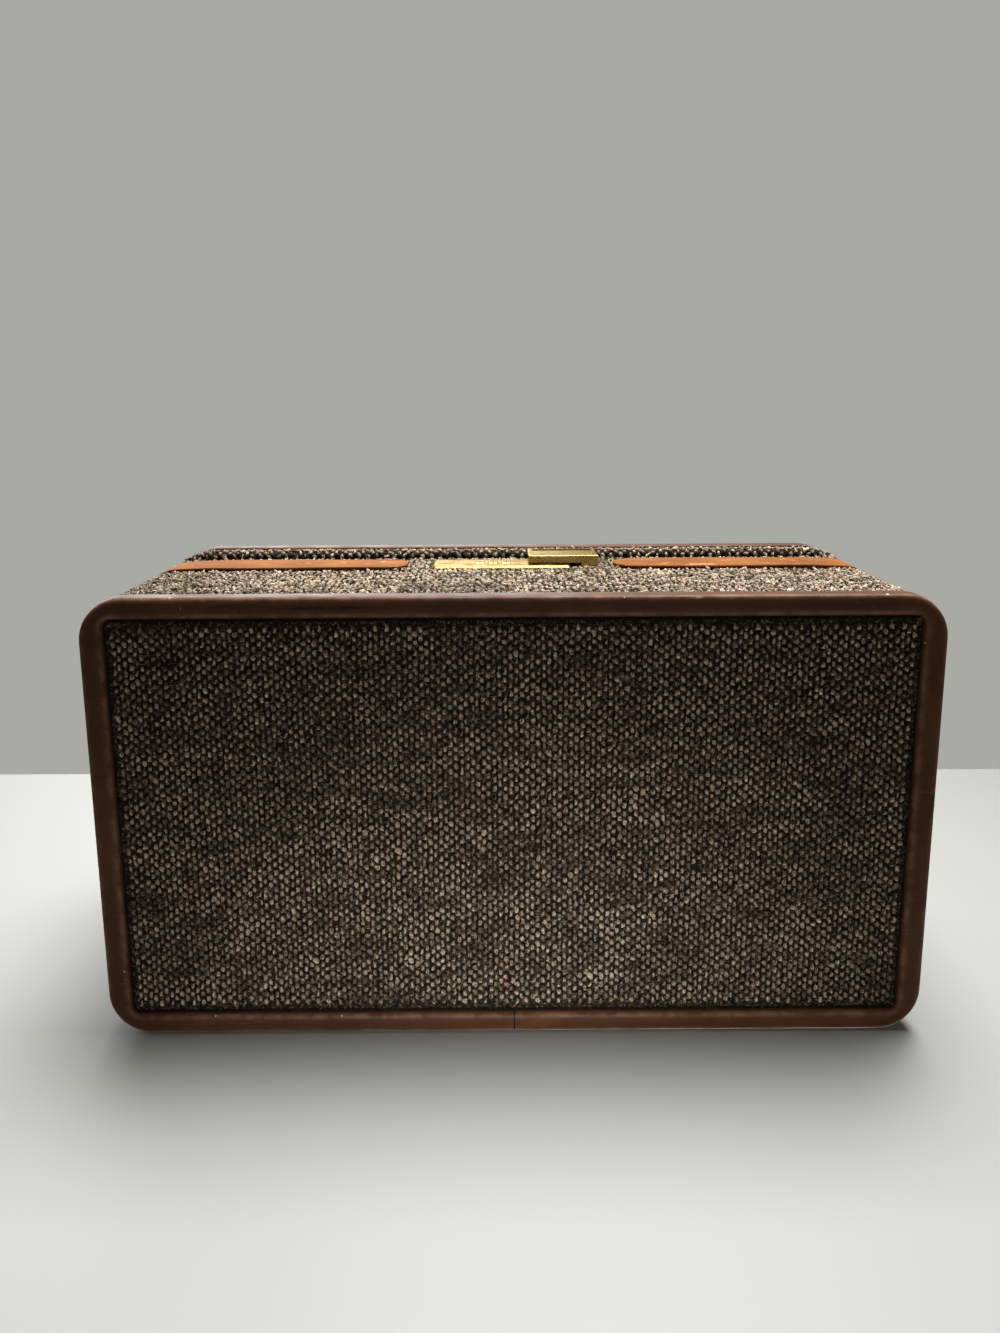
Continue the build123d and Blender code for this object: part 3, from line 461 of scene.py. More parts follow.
TWEED = make_tweed()
GROUND = make_tweed_ground("tweed ground")
PANEL_GROUND = make_tweed_ground("panel ground", PANEL_HALF_X - GROUND_GAP_X,
                                 PANEL_HALF_Y - GROUND_GAP_Y)
VINYL = make_vinyl()
LEATHER = make_leather()
BRASS = make_metal("brass", srgb(160, 138, 90), srgb(134, 112, 66), srgb(90, 70, 38), 0.2)
DARK_BRASS = make_metal("dial brass", srgb(196, 172, 118), srgb(168, 142, 90),
                        srgb(98, 74, 40), 0.36)
STEEL = make_metal("plated steel", srgb(196, 196, 192), srgb(160, 160, 158),
                   srgb(104, 96, 84), 0.32)
SATIN = make_satin()
LIP = make_plain("lip plastic", srgb(74, 44, 34), srgb(96, 60, 46), 0.45)
TRAY = make_plain("tray plastic", srgb(136, 98, 68), srgb(164, 122, 88), 0.55)
LEDGE = make_plain("covered batten", srgb(104, 68, 46), srgb(132, 90, 62), 0.7)
ELASTIC = make_plain("ribbed elastic", srgb(96, 62, 42), srgb(128, 88, 60), 0.85, 300.0, 0.5)
RIM = make_plain("mirror rim", srgb(120, 82, 58), srgb(150, 108, 78), 0.5)
INK = make_plain("dial ink", srgb(26, 22, 18), srgb(44, 38, 30), 0.6)
WOOD = make_wood()
MIRROR = make_mirror()

NODE_FINISH = {
    "body_frame": WOOD, "bottom_board": WOOD, "lid_frame": WOOD, "lid_board": WOOD,
    "body_tweed": GROUND, "lid_tweed": GROUND,
    "bottom_tweed": PANEL_GROUND, "lid_top_tweed": PANEL_GROUND,
    "bottom_moulding": VINYL, "lid_moulding": VINYL, "body_lining": SATIN, "lid_lining": SATIN,
    "pocket_front": SATIN, "pocket_back": SATIN, "pocket_elastics": ELASTIC, "dust_lip": LIP,
    "left_belt": LEATHER, "right_belt": LEATHER, "handle_grip": LEATHER, "tray_tabs": LEATHER,
    "tray_shell": TRAY, "tray_long_divider": TRAY, "tray_cross_dividers": TRAY,
    "tray_ledge_front": LEDGE, "tray_ledge_back": LEDGE, "mirror_frame": RIM,
    "mirror_glass": MIRROR, "lock_case": STEEL, "dial_shaft": STEEL, "dial_spring": STEEL,
    "slider_bolt": STEEL, "lid_strike": STEEL, "stay_arm_left": STEEL, "stay_arm_right": STEEL,
    "handle_core": STEEL, "dial_wheel_1": DARK_BRASS, "dial_wheel_2": DARK_BRASS,
    "dial_wheel_3": DARK_BRASS,
}
for name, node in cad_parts.items():
    node.data.materials.clear()
    node.data.materials.append(NODE_FINISH.get(name, BRASS))


# Mesh helpers
def new_object(name, data):
    """An object that stands in the scene."""
    made = bpy.data.objects.new(name, data)
    bpy.context.scene.collection.objects.link(made)
    return made


def mesh_of(bm, name):
    """Turn a bmesh into a mesh."""
    mesh = bpy.data.meshes.new(name)
    bm.to_mesh(mesh)
    bm.free()
    return mesh


def repeated(data, *runs):
    """Turn a mesh or a text into a mesh, copied along each run of (count, offset)."""
    maker = new_object("maker", data)
    for count, offset in runs:
        copies = maker.modifiers.new("copies", "ARRAY")
        copies.count = count
        copies.use_relative_offset = False
        copies.use_constant_offset = True
        copies.constant_offset_displace = offset
    shown = maker.evaluated_get(bpy.context.evaluated_depsgraph_get())
    made = bpy.data.meshes.new_from_object(shown)
    bpy.data.objects.remove(maker)
    return made


def round_corners(bm, corners, radius, steps):
    """Round flat corners."""
    bmesh.ops.bevel(bm, geom=corners, offset=radius, offset_type="OFFSET", affect="VERTICES",
                    segments=steps, profile=0.5, material=-1)


def finished(bm, name, material, body, slot, *replaced, smooth=True):
    """Turn a bmesh into a piece that rides on a body."""
    return piece_of(mesh_of(bm, name), name, material, body, slot, *replaced, smooth=smooth)


def piece_of(mesh, name, material, body, slot, *replaced, smooth=True):
    """Make a mesh a piece that rides on a body and stands for the given nodes."""
    mesh.materials.clear()
    mesh.materials.append(material)
    mesh.polygons.foreach_set("use_smooth", [smooth] * len(mesh.polygons))
    mesh.transform(Matrix.Translation((0, MIDDLE_Y, 0)))
    piece = new_object(name, mesh)
    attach(piece, body)
    if replaced:
        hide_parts(*replaced)
    return piece


def read_points(mesh):
    """A mesh's points as an array."""
    points = np.empty(len(mesh.vertices) * 3, np.float32)
    mesh.vertices.foreach_get("co", points)
    return points.reshape(-1, 3).astype(float)


def write_points(mesh, points):
    """Put an array of points back into a mesh."""
    mesh.vertices.foreach_set("co", points.astype(np.float32).ravel())
    mesh.update()


def write_value(mesh, name, values):
    """Store one value for each point under a name that a material reads."""
    layer = mesh.attributes.new(name, "FLOAT", "POINT")
    layer.data.foreach_set("value", np.asarray(values, np.float32))


def plan_place(u, half_x, half_y, front_round, back_round):
    """Point and outward direction on a plan outline, u from the front's middle.

    The sizes may be arrays, one value for each point.
    """
    way = np.where(u < 0, -1.0, 1.0)
    run = np.abs(u)
    quarter = math.pi / 2
    arc_1 = half_x - front_round
    side = arc_1 + quarter * front_round
    arc_2 = side + 2 * half_y - front_round - back_round
    back = arc_2 + quarter * back_round
    turn_1 = (run - arc_1) / front_round - quarter
    turn_2 = (run - arc_2) / back_round
    where = [run < arc_1, run < side, run < arc_2, run < back]
    x = np.select(where, [
        run, half_x - front_round + front_round * np.cos(turn_1), half_x + 0 * run,
        half_x - back_round + back_round * np.cos(turn_2)], half_x - back_round - run + back)
    y = np.select(where, [
        -half_y + 0 * run, -half_y + front_round + front_round * np.sin(turn_1),
        -half_y + front_round + run - side,
        half_y - back_round + back_round * np.sin(turn_2)], half_y + 0 * run)
    nx = np.select(where, [0 * run, np.cos(turn_1), 1 + 0 * run, np.cos(turn_2)], 0)
    ny = np.select(where, [-1 + 0 * run, np.sin(turn_1), 0 * run, np.sin(turn_2)], 1)
    return x * way, y, nx * way, ny


def wall_place(u):
    """A place on the box's straight wall."""
    return plan_place(u, CLOTH_X, CLOTH_Y, WALL_CORNER, WALL_CORNER)


def lid_place(u, z):
    """A place on the lid's wall, which flares and gets rounder in front towards its rim."""
    share = np.clip((LID_LOW + FLARE - z) / FLARE, 0, 1) ** 2
    half_x = CLOTH_X + share * RIM_SIDE
    half_y = CLOTH_Y + share * RIM_FRONT / 2
    front_round = WALL_CORNER + share * RIM_GROWTH
    lost = (2 - math.pi / 2) * (front_round - WALL_CORNER)
    length = HALF_RUN + 2 * (half_x - CLOTH_X) + 2 * (half_y - CLOTH_Y) - lost
    x, y, nx, ny = plan_place(u * length / HALF_RUN, half_x, half_y, front_round, WALL_CORNER)
    return x, y - (half_y - CLOTH_Y), nx, ny


# Woven knots
KNOT_SIZE = (1.85 * MM, 2.95 * MM)
RIM_KNOT = (2.0 * MM, 3.2 * MM)
KNOT_RISE = 1.15 * MM
KNOT_SQUARENESS = 0.7
KNOT_GROWTH = 0.13
KNOT_TURN = 0.1
KNOT_TILT = 0.16
KNOT_LUMPS = 0.1 * MM
KNOT_SHIFT = 0.19 * MM
KNOT_SINK = 0.12 * MM
KNOT_SINK_SPREAD = 0.14 * MM
KNOT_SINK_MOST = 0.45 * MM
# Painted shade at the knots' feet: the share of colour left at the foot, and how it grows up the
# knot
KNOT_FOOT_LIGHT = 0.1
KNOT_SHADE_CURVE = 0.75
WALL_LOOSE = 2.8
RIM_LOOSE = 2.0


def knot_cloth(name, columns, rows, size, place, body, keep, seed, loose=1.0):
    """Rows of yarn knots, in brick order, laid over a surface by the place function.

    size is a knot's width and length. place turns cloth coordinates (across, along, height)
    into points, and keep says which of those points have a knot. loose scales the disorder.
    """
    bm = bmesh.new()
    bmesh.ops.create_uvsphere(bm, u_segments=8, v_segments=4, radius=1.0)
    low = [v for v in bm.verts if v.co.z < -0.1]
    bmesh.ops.delete(bm, geom=low, context="VERTS")
    for vert in bm.verts:
        vert.co.x = math.copysign(abs(vert.co.x) ** KNOT_SQUARENESS, vert.co.x)
        vert.co.y = math.copysign(abs(vert.co.y) ** KNOT_SQUARENESS, vert.co.y)
    bmesh.ops.scale(bm, vec=(size[0] / 2, size[1] / 2, KNOT_RISE), verts=bm.verts)
    twin = bmesh.ops.duplicate(bm, geom=bm.verts[:] + bm.edges[:] + bm.faces[:])
    moved = [g for g in twin["geom"] if isinstance(g, bmesh.types.BMVert)]
    bmesh.ops.translate(bm, vec=(KNOT_ACROSS, KNOT_ALONG / 2, 0), verts=moved)
    per_knot = len(bm.verts) // 2
    cloth = repeated(mesh_of(bm, name), (columns // 2, (2 * KNOT_ACROSS, 0, 0)),
                     (rows, (0, KNOT_ALONG, 0)))
    points = read_points(cloth).reshape(-1, per_knot, 3)
    centres = points.mean(axis=1)
    points[:, :, 0] -= (centres[:, 0].min() + centres[:, 0].max()) / 2
    points[:, :, 1] -= (centres[:, 1].min() + centres[:, 1].max()) / 2
    draw = np.random.default_rng(seed)
    knots = len(points)
    middle = points.mean(axis=1, keepdims=True)
    local = points - middle
    grow = draw.normal(1.0, KNOT_GROWTH, (knots, 1, 3)).clip(0.65, 1.3)
    angle = draw.normal(0.0, KNOT_TURN * loose, (knots, 1))
    turned = local.copy()
    turned[:, :, 0] = local[:, :, 0] * np.cos(angle) - local[:, :, 1] * np.sin(angle)
    turned[:, :, 1] = local[:, :, 0] * np.sin(angle) + local[:, :, 1] * np.cos(angle)
    turned = turned * grow
    turned[:, :, 2] += turned[:, :, 1] * draw.normal(0, KNOT_TILT, (knots, 1))
    turned += draw.normal(0, KNOT_LUMPS, turned.shape)
    shift = draw.normal(0, KNOT_SHIFT * loose, (knots, 1, 3))
    shift[:, :, 2] = draw.normal(-KNOT_SINK, KNOT_SINK_SPREAD, (knots, 1)).clip(
        -KNOT_SINK_MOST, KNOT_SINK)
    flat = middle + turned + shift
    share = np.clip(flat[:, :, 2] / KNOT_RISE, 0, 1)
    x, y, z = place(*flat.reshape(-1, 3).T)
    write_points(cloth, np.stack([x, y, z], axis=1))
    write_value(cloth, "shade", np.repeat(draw.random(knots), per_knot))
    # Painted shade: the share of the yarn's colour kept at each point, low at the knot's foot
    lit_share = KNOT_FOOT_LIGHT + (1 - KNOT_FOOT_LIGHT) * share.ravel() ** KNOT_SHADE_CURVE
    write_value(cloth, "lit_share", lit_share.clip(0, 1))
    gone = np.repeat(~keep(*place(*middle[:, 0].T)), per_knot)
    bm = bmesh.new()
    bm.from_mesh(cloth)
    bm.verts.ensure_lookup_table()
    bmesh.ops.delete(bm, geom=[bm.verts[i] for i in np.flatnonzero(gone)], context="VERTS")
    bm.to_mesh(cloth)
    bm.free()
    return piece_of(cloth, name, TWEED, body, "tweed")


PANEL_MARGIN_X = 2.1 * MM
PANEL_MARGIN_Y = 2.2 * MM
PANEL_KNOTS = (int(2 * PANEL_HALF_X / KNOT_ACROSS) // 2 * 2 + 2,
               int(2 * PANEL_HALF_Y / KNOT_ALONG) + 1)


def in_panel(x, y, z):
    """True for knots inside the moulding's opening."""
    return ((np.abs(x) < PANEL_HALF_X - PANEL_MARGIN_X)
            & (np.abs(y) < PANEL_HALF_Y - PANEL_MARGIN_Y))


def make_bottom_weave():
    """Knots of the bottom panel, facing down."""
    return knot_cloth("bottom_weave", *PANEL_KNOTS, KNOT_SIZE,
                      lambda u, v, h: (u, -v, PANEL_Z - h), "box", in_panel, 3)


def make_top_weave():
    """Knots of the lid's top panel, with room for the handle mounts."""
    mounts = [place_of(f"handle_mount_{side}") for side in ("left", "right")]

    def clear(x, y, z):
        inside = in_panel(x, y, z)
        for low, high in mounts:
            inside &= ~((x > low.x) & (x < high.x) & (y > low.y) & (y < high.y))
        return inside

    return knot_cloth("top_weave", *PANEL_KNOTS, KNOT_SIZE,
                      lambda u, v, h: (u, v, LID_CLOTH_TOP + h), "lid", clear, 4)


FLANGE_GAP = 0.6 * MM
SPLIT_GAP = 0.4 * MM
WALL_LOW = FLANGE_TOP + FLANGE_GAP
WALL_HIGH = BOX_TOP - SPLIT_GAP
WALL_CORNER = CORNER - CLOTH_INSET
FRONT_RUN = CLOTH_X - WALL_CORNER
ARC_RUN = math.pi / 2 * WALL_CORNER
SIDE_RUN = 2 * (CLOTH_Y - WALL_CORNER)
HALF_RUN = 2 * FRONT_RUN + 2 * ARC_RUN + SIDE_RUN
BELT_BOX = place_of("right_belt")
PLATE_BOX = place_of("lock_plate")
HINGE_BOXES = [place_of(f"{side}_hinge_{part}_leaf")
               for side in ("left", "right") for part in ("box", "lid")]
LAP = 1 * MM
BELT_TIP_LAP = 9 * MM
BELT_END_LAP = 4 * MM


def wall_keep(x, y, z):
    """Leave out knots under the belts, the lock plate and the hinge leaves."""
    covered = (z > BELT_BOX[0].z + LAP) & (z < BELT_BOX[1].z - LAP)
    covered &= (np.abs(x) > BELT_BOX[0].x + BELT_TIP_LAP) & (y < BELT_BOX[1].y - BELT_END_LAP)
    plate = (x > PLATE_BOX[0].x + LAP) & (x < PLATE_BOX[1].x - LAP) & (y < 0)
    plate &= (z > PLATE_BOX[0].z + LAP) & (z < PLATE_BOX[1].z - LAP)
    return ~covered & ~plate & hinge_keep(x, y, z)


def hinge_keep(x, y, z):
    """Leave out knots under the hinge leaves."""
    free = np.ones_like(x, bool)
    for low, high in HINGE_BOXES:
        free &= ~((x > low.x - LAP) & (x < high.x + LAP) & (y > 0)
                  & (z > low.z - LAP) & (z < high.z + LAP))
    return free


def make_wall_weave(name, middle, run, seed):
    """Knots of one wall of the box, round a stretch of the plan outline."""
    columns = int(run / KNOT_ACROSS) // 2 * 2
    rows = int((WALL_HIGH - WALL_LOW) / KNOT_ALONG)
    height = (WALL_LOW + WALL_HIGH) / 2

    def place(u, v, h):
        length = 2 * HALF_RUN
        around = (u + middle + HALF_RUN) % length - HALF_RUN
        x, y, nx, ny = wall_place(around)
        return x + nx * h, y + ny * h, v + height

    return knot_cloth(name, columns, rows, KNOT_SIZE, place, "box", wall_keep, seed,
                      WALL_LOOSE)


ROLL = 5.0 * MM
ROLL_SWELL = 0.8 * MM
SWELL_REACH = 3.5 * MM
SIDE_SWELL = 0.4
GROUND_SINK = 0.15 * MM
GROUND_STEPS = (560, 24)
RIM_TUCK = 4.5 * MM
LID_RUN_LOW = LID_LOW - RIM_TUCK
LID_RUN_HIGH = FLANGE_LOW - FLANGE_GAP


def lid_wrap(u, v, h):
    """Lay cloth coordinates on the lid's flared wall and round its rim."""
    around = np.clip(u, -HALF_RUN + TINY, HALF_RUN - TINY)
    z = v + (LID_RUN_LOW + LID_RUN_HIGH) / 2
    x, y, nx, ny = lid_place(around, np.maximum(z, LID_LOW))
    start = LID_LOW + ROLL
    down = np.maximum(start - z, 0)
    turn = np.minimum(down / ROLL, math.pi / 2)
    swell = ROLL_SWELL * np.exp(-((z - LID_LOW - SWELL_REACH) / SWELL_REACH) ** 2)
    rolled = ROLL + h + swell * np.where(ny < 0, 1.0, SIDE_SWELL)
    out = -ROLL + rolled * np.cos(turn) - np.maximum(down - ROLL * math.pi / 2, 0)
    height = np.where(z < start, start - (ROLL + h) * np.sin(turn), z)
    return x + nx * out, y + ny * out, height


def make_lid_weave():
    """Knots of the lid's flared wall, rolled round its rim."""
    columns = int(2 * HALF_RUN / KNOT_ACROSS) // 2 * 2
    rows = int((LID_RUN_HIGH - LID_RUN_LOW) / KNOT_ALONG)
    return knot_cloth("lid_weave", columns, rows, RIM_KNOT, lid_wrap, "lid", hinge_keep, 9,
                      RIM_LOOSE)


def make_lid_ground():
    """The ground cloth of the lid's wall, rolled round its rim below the knots."""
    bm = bmesh.new()
    bmesh.ops.create_grid(bm, x_segments=GROUND_STEPS[0], y_segments=GROUND_STEPS[1], size=1.0)
    half = (LID_RUN_HIGH - LID_RUN_LOW) / 2
    bmesh.ops.scale(bm, vec=(HALF_RUN, half, 1.0), verts=bm.verts)
    mesh = mesh_of(bm, "lid_ground")
    points = read_points(mesh)
    x, y, z = lid_wrap(points[:, 0], points[:, 1], -GROUND_SINK)
    write_points(mesh, np.stack([x, y, z], axis=1))
    return piece_of(mesh, "lid_ground", GROUND, "lid", "tweed", "lid_tweed")


make_bottom_weave()
make_top_weave()
make_wall_weave("front_weave", 0.0, 2 * FRONT_RUN + ARC_RUN, 5)
make_wall_weave("back_weave", HALF_RUN, 2 * FRONT_RUN + ARC_RUN, 6)
SIDE_MIDDLE = FRONT_RUN + ARC_RUN + SIDE_RUN / 2
make_wall_weave("right_weave", SIDE_MIDDLE, SIDE_RUN + ARC_RUN, 7)
make_wall_weave("left_weave", -SIDE_MIDDLE, SIDE_RUN + ARC_RUN, 8)
make_lid_weave()
make_lid_ground()


# Moulded edge frames, by points of their section: inset, rise and wear, the first two in mm; the
# wear at the inner lip, near 8 to 9 mm inset, is partly a painted highlight
MOULDING_SECTION = [
    (1.62, 11.2, 0.3), (1.55, 11.9, 0.6), (1.15, 12.15, 0.9), (0.5, 12.0, 0.9),
    (0.12, 11.4, 0.5), (0.0, 10.0, 0.0), (0.0, 3.6, 0.0), (0.05, 2.5, 0.4), (0.22, 1.6, 0.9),
    (0.65, 0.9, 1.0), (1.3, 0.5, 0.7), (2.4, 0.25, 0.1), (4.0, 0.05, 0.0), (5.6, 0.1, 0.0),
    (6.6, 0.14, 0.1), (7.4, 0.26, 0.5), (8.1, 0.5, 1.0), (8.7, 0.9, 1.0), (9.2, 1.4, 0.6),
    (9.5, 2.1, 0.1), (9.7, 2.7, 0.0), (9.8, 3.3, 0.0),
]
SIDE_SPREAD = 1.12
INNER_CORNER_LOSS = 1.7
CORNER_STEPS = 10


def plan_loop(bm, inset, radius, z):
    """Add a rounded rectangle of edges at one height."""
    made = bmesh.ops.create_grid(bm, x_segments=1, y_segments=1, size=1.0)
    bmesh.ops.scale(bm, vec=(HALF_X - SIDE_SPREAD * inset, HALF_Y - inset, 1),
                    verts=made["verts"])
    bmesh.ops.translate(bm, vec=(0, 0, z), verts=made["verts"])
    round_corners(bm, made["verts"], radius, CORNER_STEPS)
    face = [f for f in bm.faces if all(abs(v.co.z - z) < TINY for v in f.verts)
            and len(f.verts) > 4][-1]
    edges = face.edges[:]
    bmesh.ops.delete(bm, geom=[face], context="FACES_ONLY")
    return edges


def make_moulding(name, seat, way, body, node):
    """Sweep the moulding's section round the case by bridging one loop for each point."""
    bm = bmesh.new()
    loops = []
    edge_layer = bm.verts.layers.float.new("edge")
    for inset, rise, edge in MOULDING_SECTION:
        radius = CORNER - INNER_CORNER_LOSS * inset * MM
        loop = plan_loop(bm, inset * MM, radius, seat + way * rise * MM)
        for part in loop:
            for vert in part.verts:
                vert[edge_layer] = edge
        loops.append(loop)
    for first, second in zip(loops, loops[1:]):
        bmesh.ops.bridge_loops(bm, edges=first + second)
    bmesh.ops.recalc_face_normals(bm, faces=bm.faces)
    return finished(bm, name, VINYL, body, "moulding", node)


make_moulding("bottom_edging", 0.0, 1, "box", "bottom_moulding")
make_moulding("top_edging", CASE_TOP, -1, "lid", "lid_moulding")


# Leather belts
BELT_THICK = 2.2 * MM
BELT_TIP_ROUND = 13 * MM
BELT_END_ROUND = 6 * MM
BELT_EDGE_ROUND = 0.7 * MM
BELT_STEP = 2.5 * MM
BELT_LINES = [1.5 * MM, 3.2 * MM, 4.4 * MM]
GROOVE_WIDTH = 0.6 * MM
GROOVE_DEPTH = 0.22 * MM
BELT_WAVE = 0.12 * MM
BELT_WAVES = (70, 95)
BELT_PRESS = 0.5
BELT_PRESS_START = 0.9 * FRONT_RUN
BELT_DARK_EDGE = 0.8 * MM


def cut_at(bm, place, way):
    """Cut all faces by a plane across one direction."""
    bmesh.ops.bisect_plane(bm, geom=bm.verts[:] + bm.edges[:] + bm.faces[:],
                           plane_co=place, plane_no=way)


def make_belt(side, name, node):
    """Leather belt with soft edges and a pointed tip, wrapped round the front corner."""
    low, high = BELT_BOX
    start = low.x
    end = FRONT_RUN + ARC_RUN + (high.y + CLOTH_Y - WALL_CORNER)
    half = (high.z - low.z) / 2
    bm = bmesh.new()
    edge_layer = bm.verts.layers.float.new("edge")
    bmesh.ops.create_grid(bm, x_segments=1, y_segments=1, size=1.0)
    bmesh.ops.scale(bm, vec=((end - start) / 2, half, 1), verts=bm.verts)
    bmesh.ops.translate(bm, vec=((end + start) / 2, 0, 0), verts=bm.verts)
    round_corners(bm, [v for v in bm.verts if v.co.x < start + TINY], BELT_TIP_ROUND, 8)
    round_corners(bm, [v for v in bm.verts if v.co.x > end - TINY], BELT_END_ROUND, 5)
    grown = bmesh.ops.extrude_face_region(bm, geom=bm.faces[:])
    top = [g for g in grown["geom"] if isinstance(g, bmesh.types.BMVert)]
    bmesh.ops.translate(bm, vec=(0, 0, BELT_THICK), verts=top)
    rim = [e for e in bm.edges if all(v.co.z > BELT_THICK / 2 for v in e.verts)]
    bmesh.ops.bevel(bm, geom=rim, offset=BELT_EDGE_ROUND, offset_type="OFFSET", affect="EDGES",
                    segments=3, profile=0.5, material=-1)
    for cut in np.arange(start + BELT_STEP, end, BELT_STEP):
        cut_at(bm, (cut, 0, 0), (1, 0, 0))
    for cut in [line - half for line in BELT_LINES] + [half - line for line in BELT_LINES[::-1]]:
        cut_at(bm, (0, cut, 0), (0, 1, 0))
    bmesh.ops.recalc_face_normals(bm, faces=bm.faces)
    middle = (low.z + high.z) / 2
    flat = np.array([v.co for v in bm.verts])
    upper = flat[:, 2] > BELT_THICK * 0.6
    groove = np.exp(-((np.abs(flat[:, 1]) - (half - BELT_LINES[1])) / GROOVE_WIDTH) ** 2)
    wave = BELT_WAVE * np.sin(flat[:, 0] * BELT_WAVES[0] + side) * np.sin(
        flat[:, 1] * BELT_WAVES[1])
    height = flat[:, 2] + np.where(upper, wave - GROOVE_DEPTH * groove, 0)
    round_share = np.clip((flat[:, 0] - BELT_PRESS_START) / ARC_RUN, 0, 1)
    height = height * (1 - BELT_PRESS * round_share)
    x, y, nx, ny = wall_place(flat[:, 0])
    for i, vert in enumerate(bm.verts):
        vert.co = (side * (x[i] + nx[i] * height[i]), y[i] + ny[i] * height[i],
                   flat[i, 1] + middle)
        near = half - abs(flat[i, 1])
        on_edge = near < BELT_DARK_EDGE or flat[i, 2] < BELT_THICK * 0.9
        vert[edge_layer] = 1.0 if on_edge else 0.0
    if side < 0:
        bmesh.ops.reverse_faces(bm, faces=bm.faces)
    return finished(bm, name, LEATHER, "box", "leather", node)


make_belt(-1, "left_strap", "left_belt")
make_belt(1, "right_strap", "right_belt")


# Digits on the dial wheels
DIGIT_SIZE = 2.7 * MM
DIGIT_THICK = 0.12 * MM
DIGIT_SINK = 0.06 * MM
DIGIT_STEP = 36
FIRST_DIGIT_TURN = 18


def make_digits(number):
    """Plain digits standing on one wheel between its notches, one for each step."""
    low, high = place_of(f"dial_wheel_{number}")
    middle = (low + high) / 2
    radius = (high.z - low.z) / 2
    whole = bmesh.new()
    for digit in range(10):
        data = bpy.data.curves.new("digit", "FONT")
        data.body = str(digit)
        data.size = DIGIT_SIZE
        data.extrude = DIGIT_THICK
        data.align_x = "CENTER"
        data.align_y = "CENTER"
        data.resolution_u = 3
        flat = repeated(data)
        flat.transform(Matrix.Translation((0, 0, radius - DIGIT_SINK)))
        flat.transform(Matrix.Rotation(math.radians(90), 4, "X"))
        turn = math.radians(DIGIT_STEP * (digit + number) + FIRST_DIGIT_TURN)
        flat.transform(Matrix.Rotation(turn, 4, "X"))
        flat.transform(Matrix.Translation(middle))
        whole.from_mesh(flat)
        bpy.data.meshes.remove(flat)
    return finished(whole, f"dial_digits_{number}", INK, f"dial_{number}", "dial",
                    smooth=False)


for number in (1, 2, 3):
    make_digits(number)


# Loose fibres on the cloth
FIBRE_SHORTEST = 0.8
FIBRE_LONGEST = 2.4
FIBRE_HALF_WIDTH = 0.035 * MM
FIBRE_TAPER = 1.2
FIBRE_STAND = 0.5
FIBRE_SCATTER = 0.7
FIBRE_CURL = 0.5
FIBRE_LOWEST = 0.1 * MM
BOX_ROOT_RISE = 0.9 * MM
LID_ROOT_RISE = 1.2 * MM
PANEL_ROOT_MARGIN = 2 * MM
RIM_ROOT_MARGIN = 1.5 * MM


def make_fuzz(name, body, count, spread, seed):
    """Short bent fibres that stand off the cloth; spread gives their roots and directions."""
    bm = bmesh.new()
    bmesh.ops.create_grid(bm, x_segments=1, y_segments=3, size=1.0)
    per_fibre = len(bm.verts)
    fuzz = repeated(mesh_of(bm, name), (count, (0, 0, 1)))
    points = read_points(fuzz).reshape(count, per_fibre, 3)
    draw = np.random.default_rng(seed)
    root, out = spread(draw, count)
    lean = out * FIBRE_STAND + draw.normal(0, FIBRE_SCATTER, (count, 3))
    lean /= np.linalg.norm(lean, axis=1, keepdims=True)
    side = np.cross(lean, draw.normal(0, 1, (count, 3)))
    side /= np.linalg.norm(side, axis=1, keepdims=True)
    curl = draw.normal(0, FIBRE_CURL, (count, 3))
    along = (points[:, :, 1:2] + 1) / 2
    long = draw.uniform(FIBRE_SHORTEST, FIBRE_LONGEST, (count, 1, 1)) * MM
    wide = FIBRE_HALF_WIDTH * (FIBRE_TAPER - along)
    place = root[:, None] + lean[:, None] * along * long + curl[:, None] * along**2 * long
    place += side[:, None] * points[:, :, 0:1] * wide
    place[:, :, 2] = np.maximum(place[:, :, 2], FIBRE_LOWEST)
    write_points(fuzz, place.reshape(-1, 3))
    write_value(fuzz, "shade", np.repeat(draw.random(count), per_fibre))
    write_value(fuzz, "lit_share", np.ones(count * per_fibre))
    return piece_of(fuzz, name, TWEED, body, "tweed")


def wall_roots(spot, z, rise):
    """Roots that stand over places on a wall, and the directions they stand in."""
    x, y, nx, ny = spot
    return (np.stack([x + nx * rise, y + ny * rise, z], axis=1),
            np.stack([nx, ny, 0 * nx], axis=1))


def box_fuzz_places(draw, count):
    """Roots of fibres over the walls and the bottom panel of the box."""
    half = count // 2
    u = draw.uniform(-HALF_RUN, HALF_RUN, half)
    z = draw.uniform(WALL_LOW, WALL_HIGH, half)
    root, out = wall_roots(wall_place(u), z, BOX_ROOT_RISE)
    rest = count - half
    px = draw.uniform(-1, 1, rest) * (PANEL_HALF_X - PANEL_ROOT_MARGIN)
    py = draw.uniform(-1, 1, rest) * (PANEL_HALF_Y - PANEL_ROOT_MARGIN)
    panel = np.stack([px, py, np.full(rest, PANEL_Z - BOX_ROOT_RISE)], axis=1)
    down = np.tile([0.0, 0.0, -1.0], (rest, 1))
    return np.concatenate([root, panel]), np.concatenate([out, down])


def lid_fuzz_places(draw, count):
    """Roots of fibres over the lid's wall, kept high at the back to clear the open hinges."""
    u = draw.uniform(-HALF_RUN, HALF_RUN, count)
    span = FLANGE_LOW - LID_LOW - 2 * RIM_ROOT_MARGIN
    z = LID_LOW + RIM_ROOT_MARGIN + draw.uniform(0, 1, count) ** 2 * span
    z = np.where(np.abs(u) > HALF_RUN / 2, (z + FLANGE_LOW) / 2, z)
    return wall_roots(lid_place(u, z), z, LID_ROOT_RISE)


make_fuzz("box_fuzz", "box", 9000, box_fuzz_places, 21)
make_fuzz("lid_fuzz", "lid", 5000, lid_fuzz_places, 22)


# Gathered pockets
POCKET_THICK = 0.4 * MM
POCKET_STEPS = (240, 24)
POCKET_CURVE = 0.7
POCKET_STAND = 0.3
POCKET_SWELL = 0.42
FOLD_DEPTH = 0.16
WIDE_FOLDS = 61
FINE_FOLDS = 143


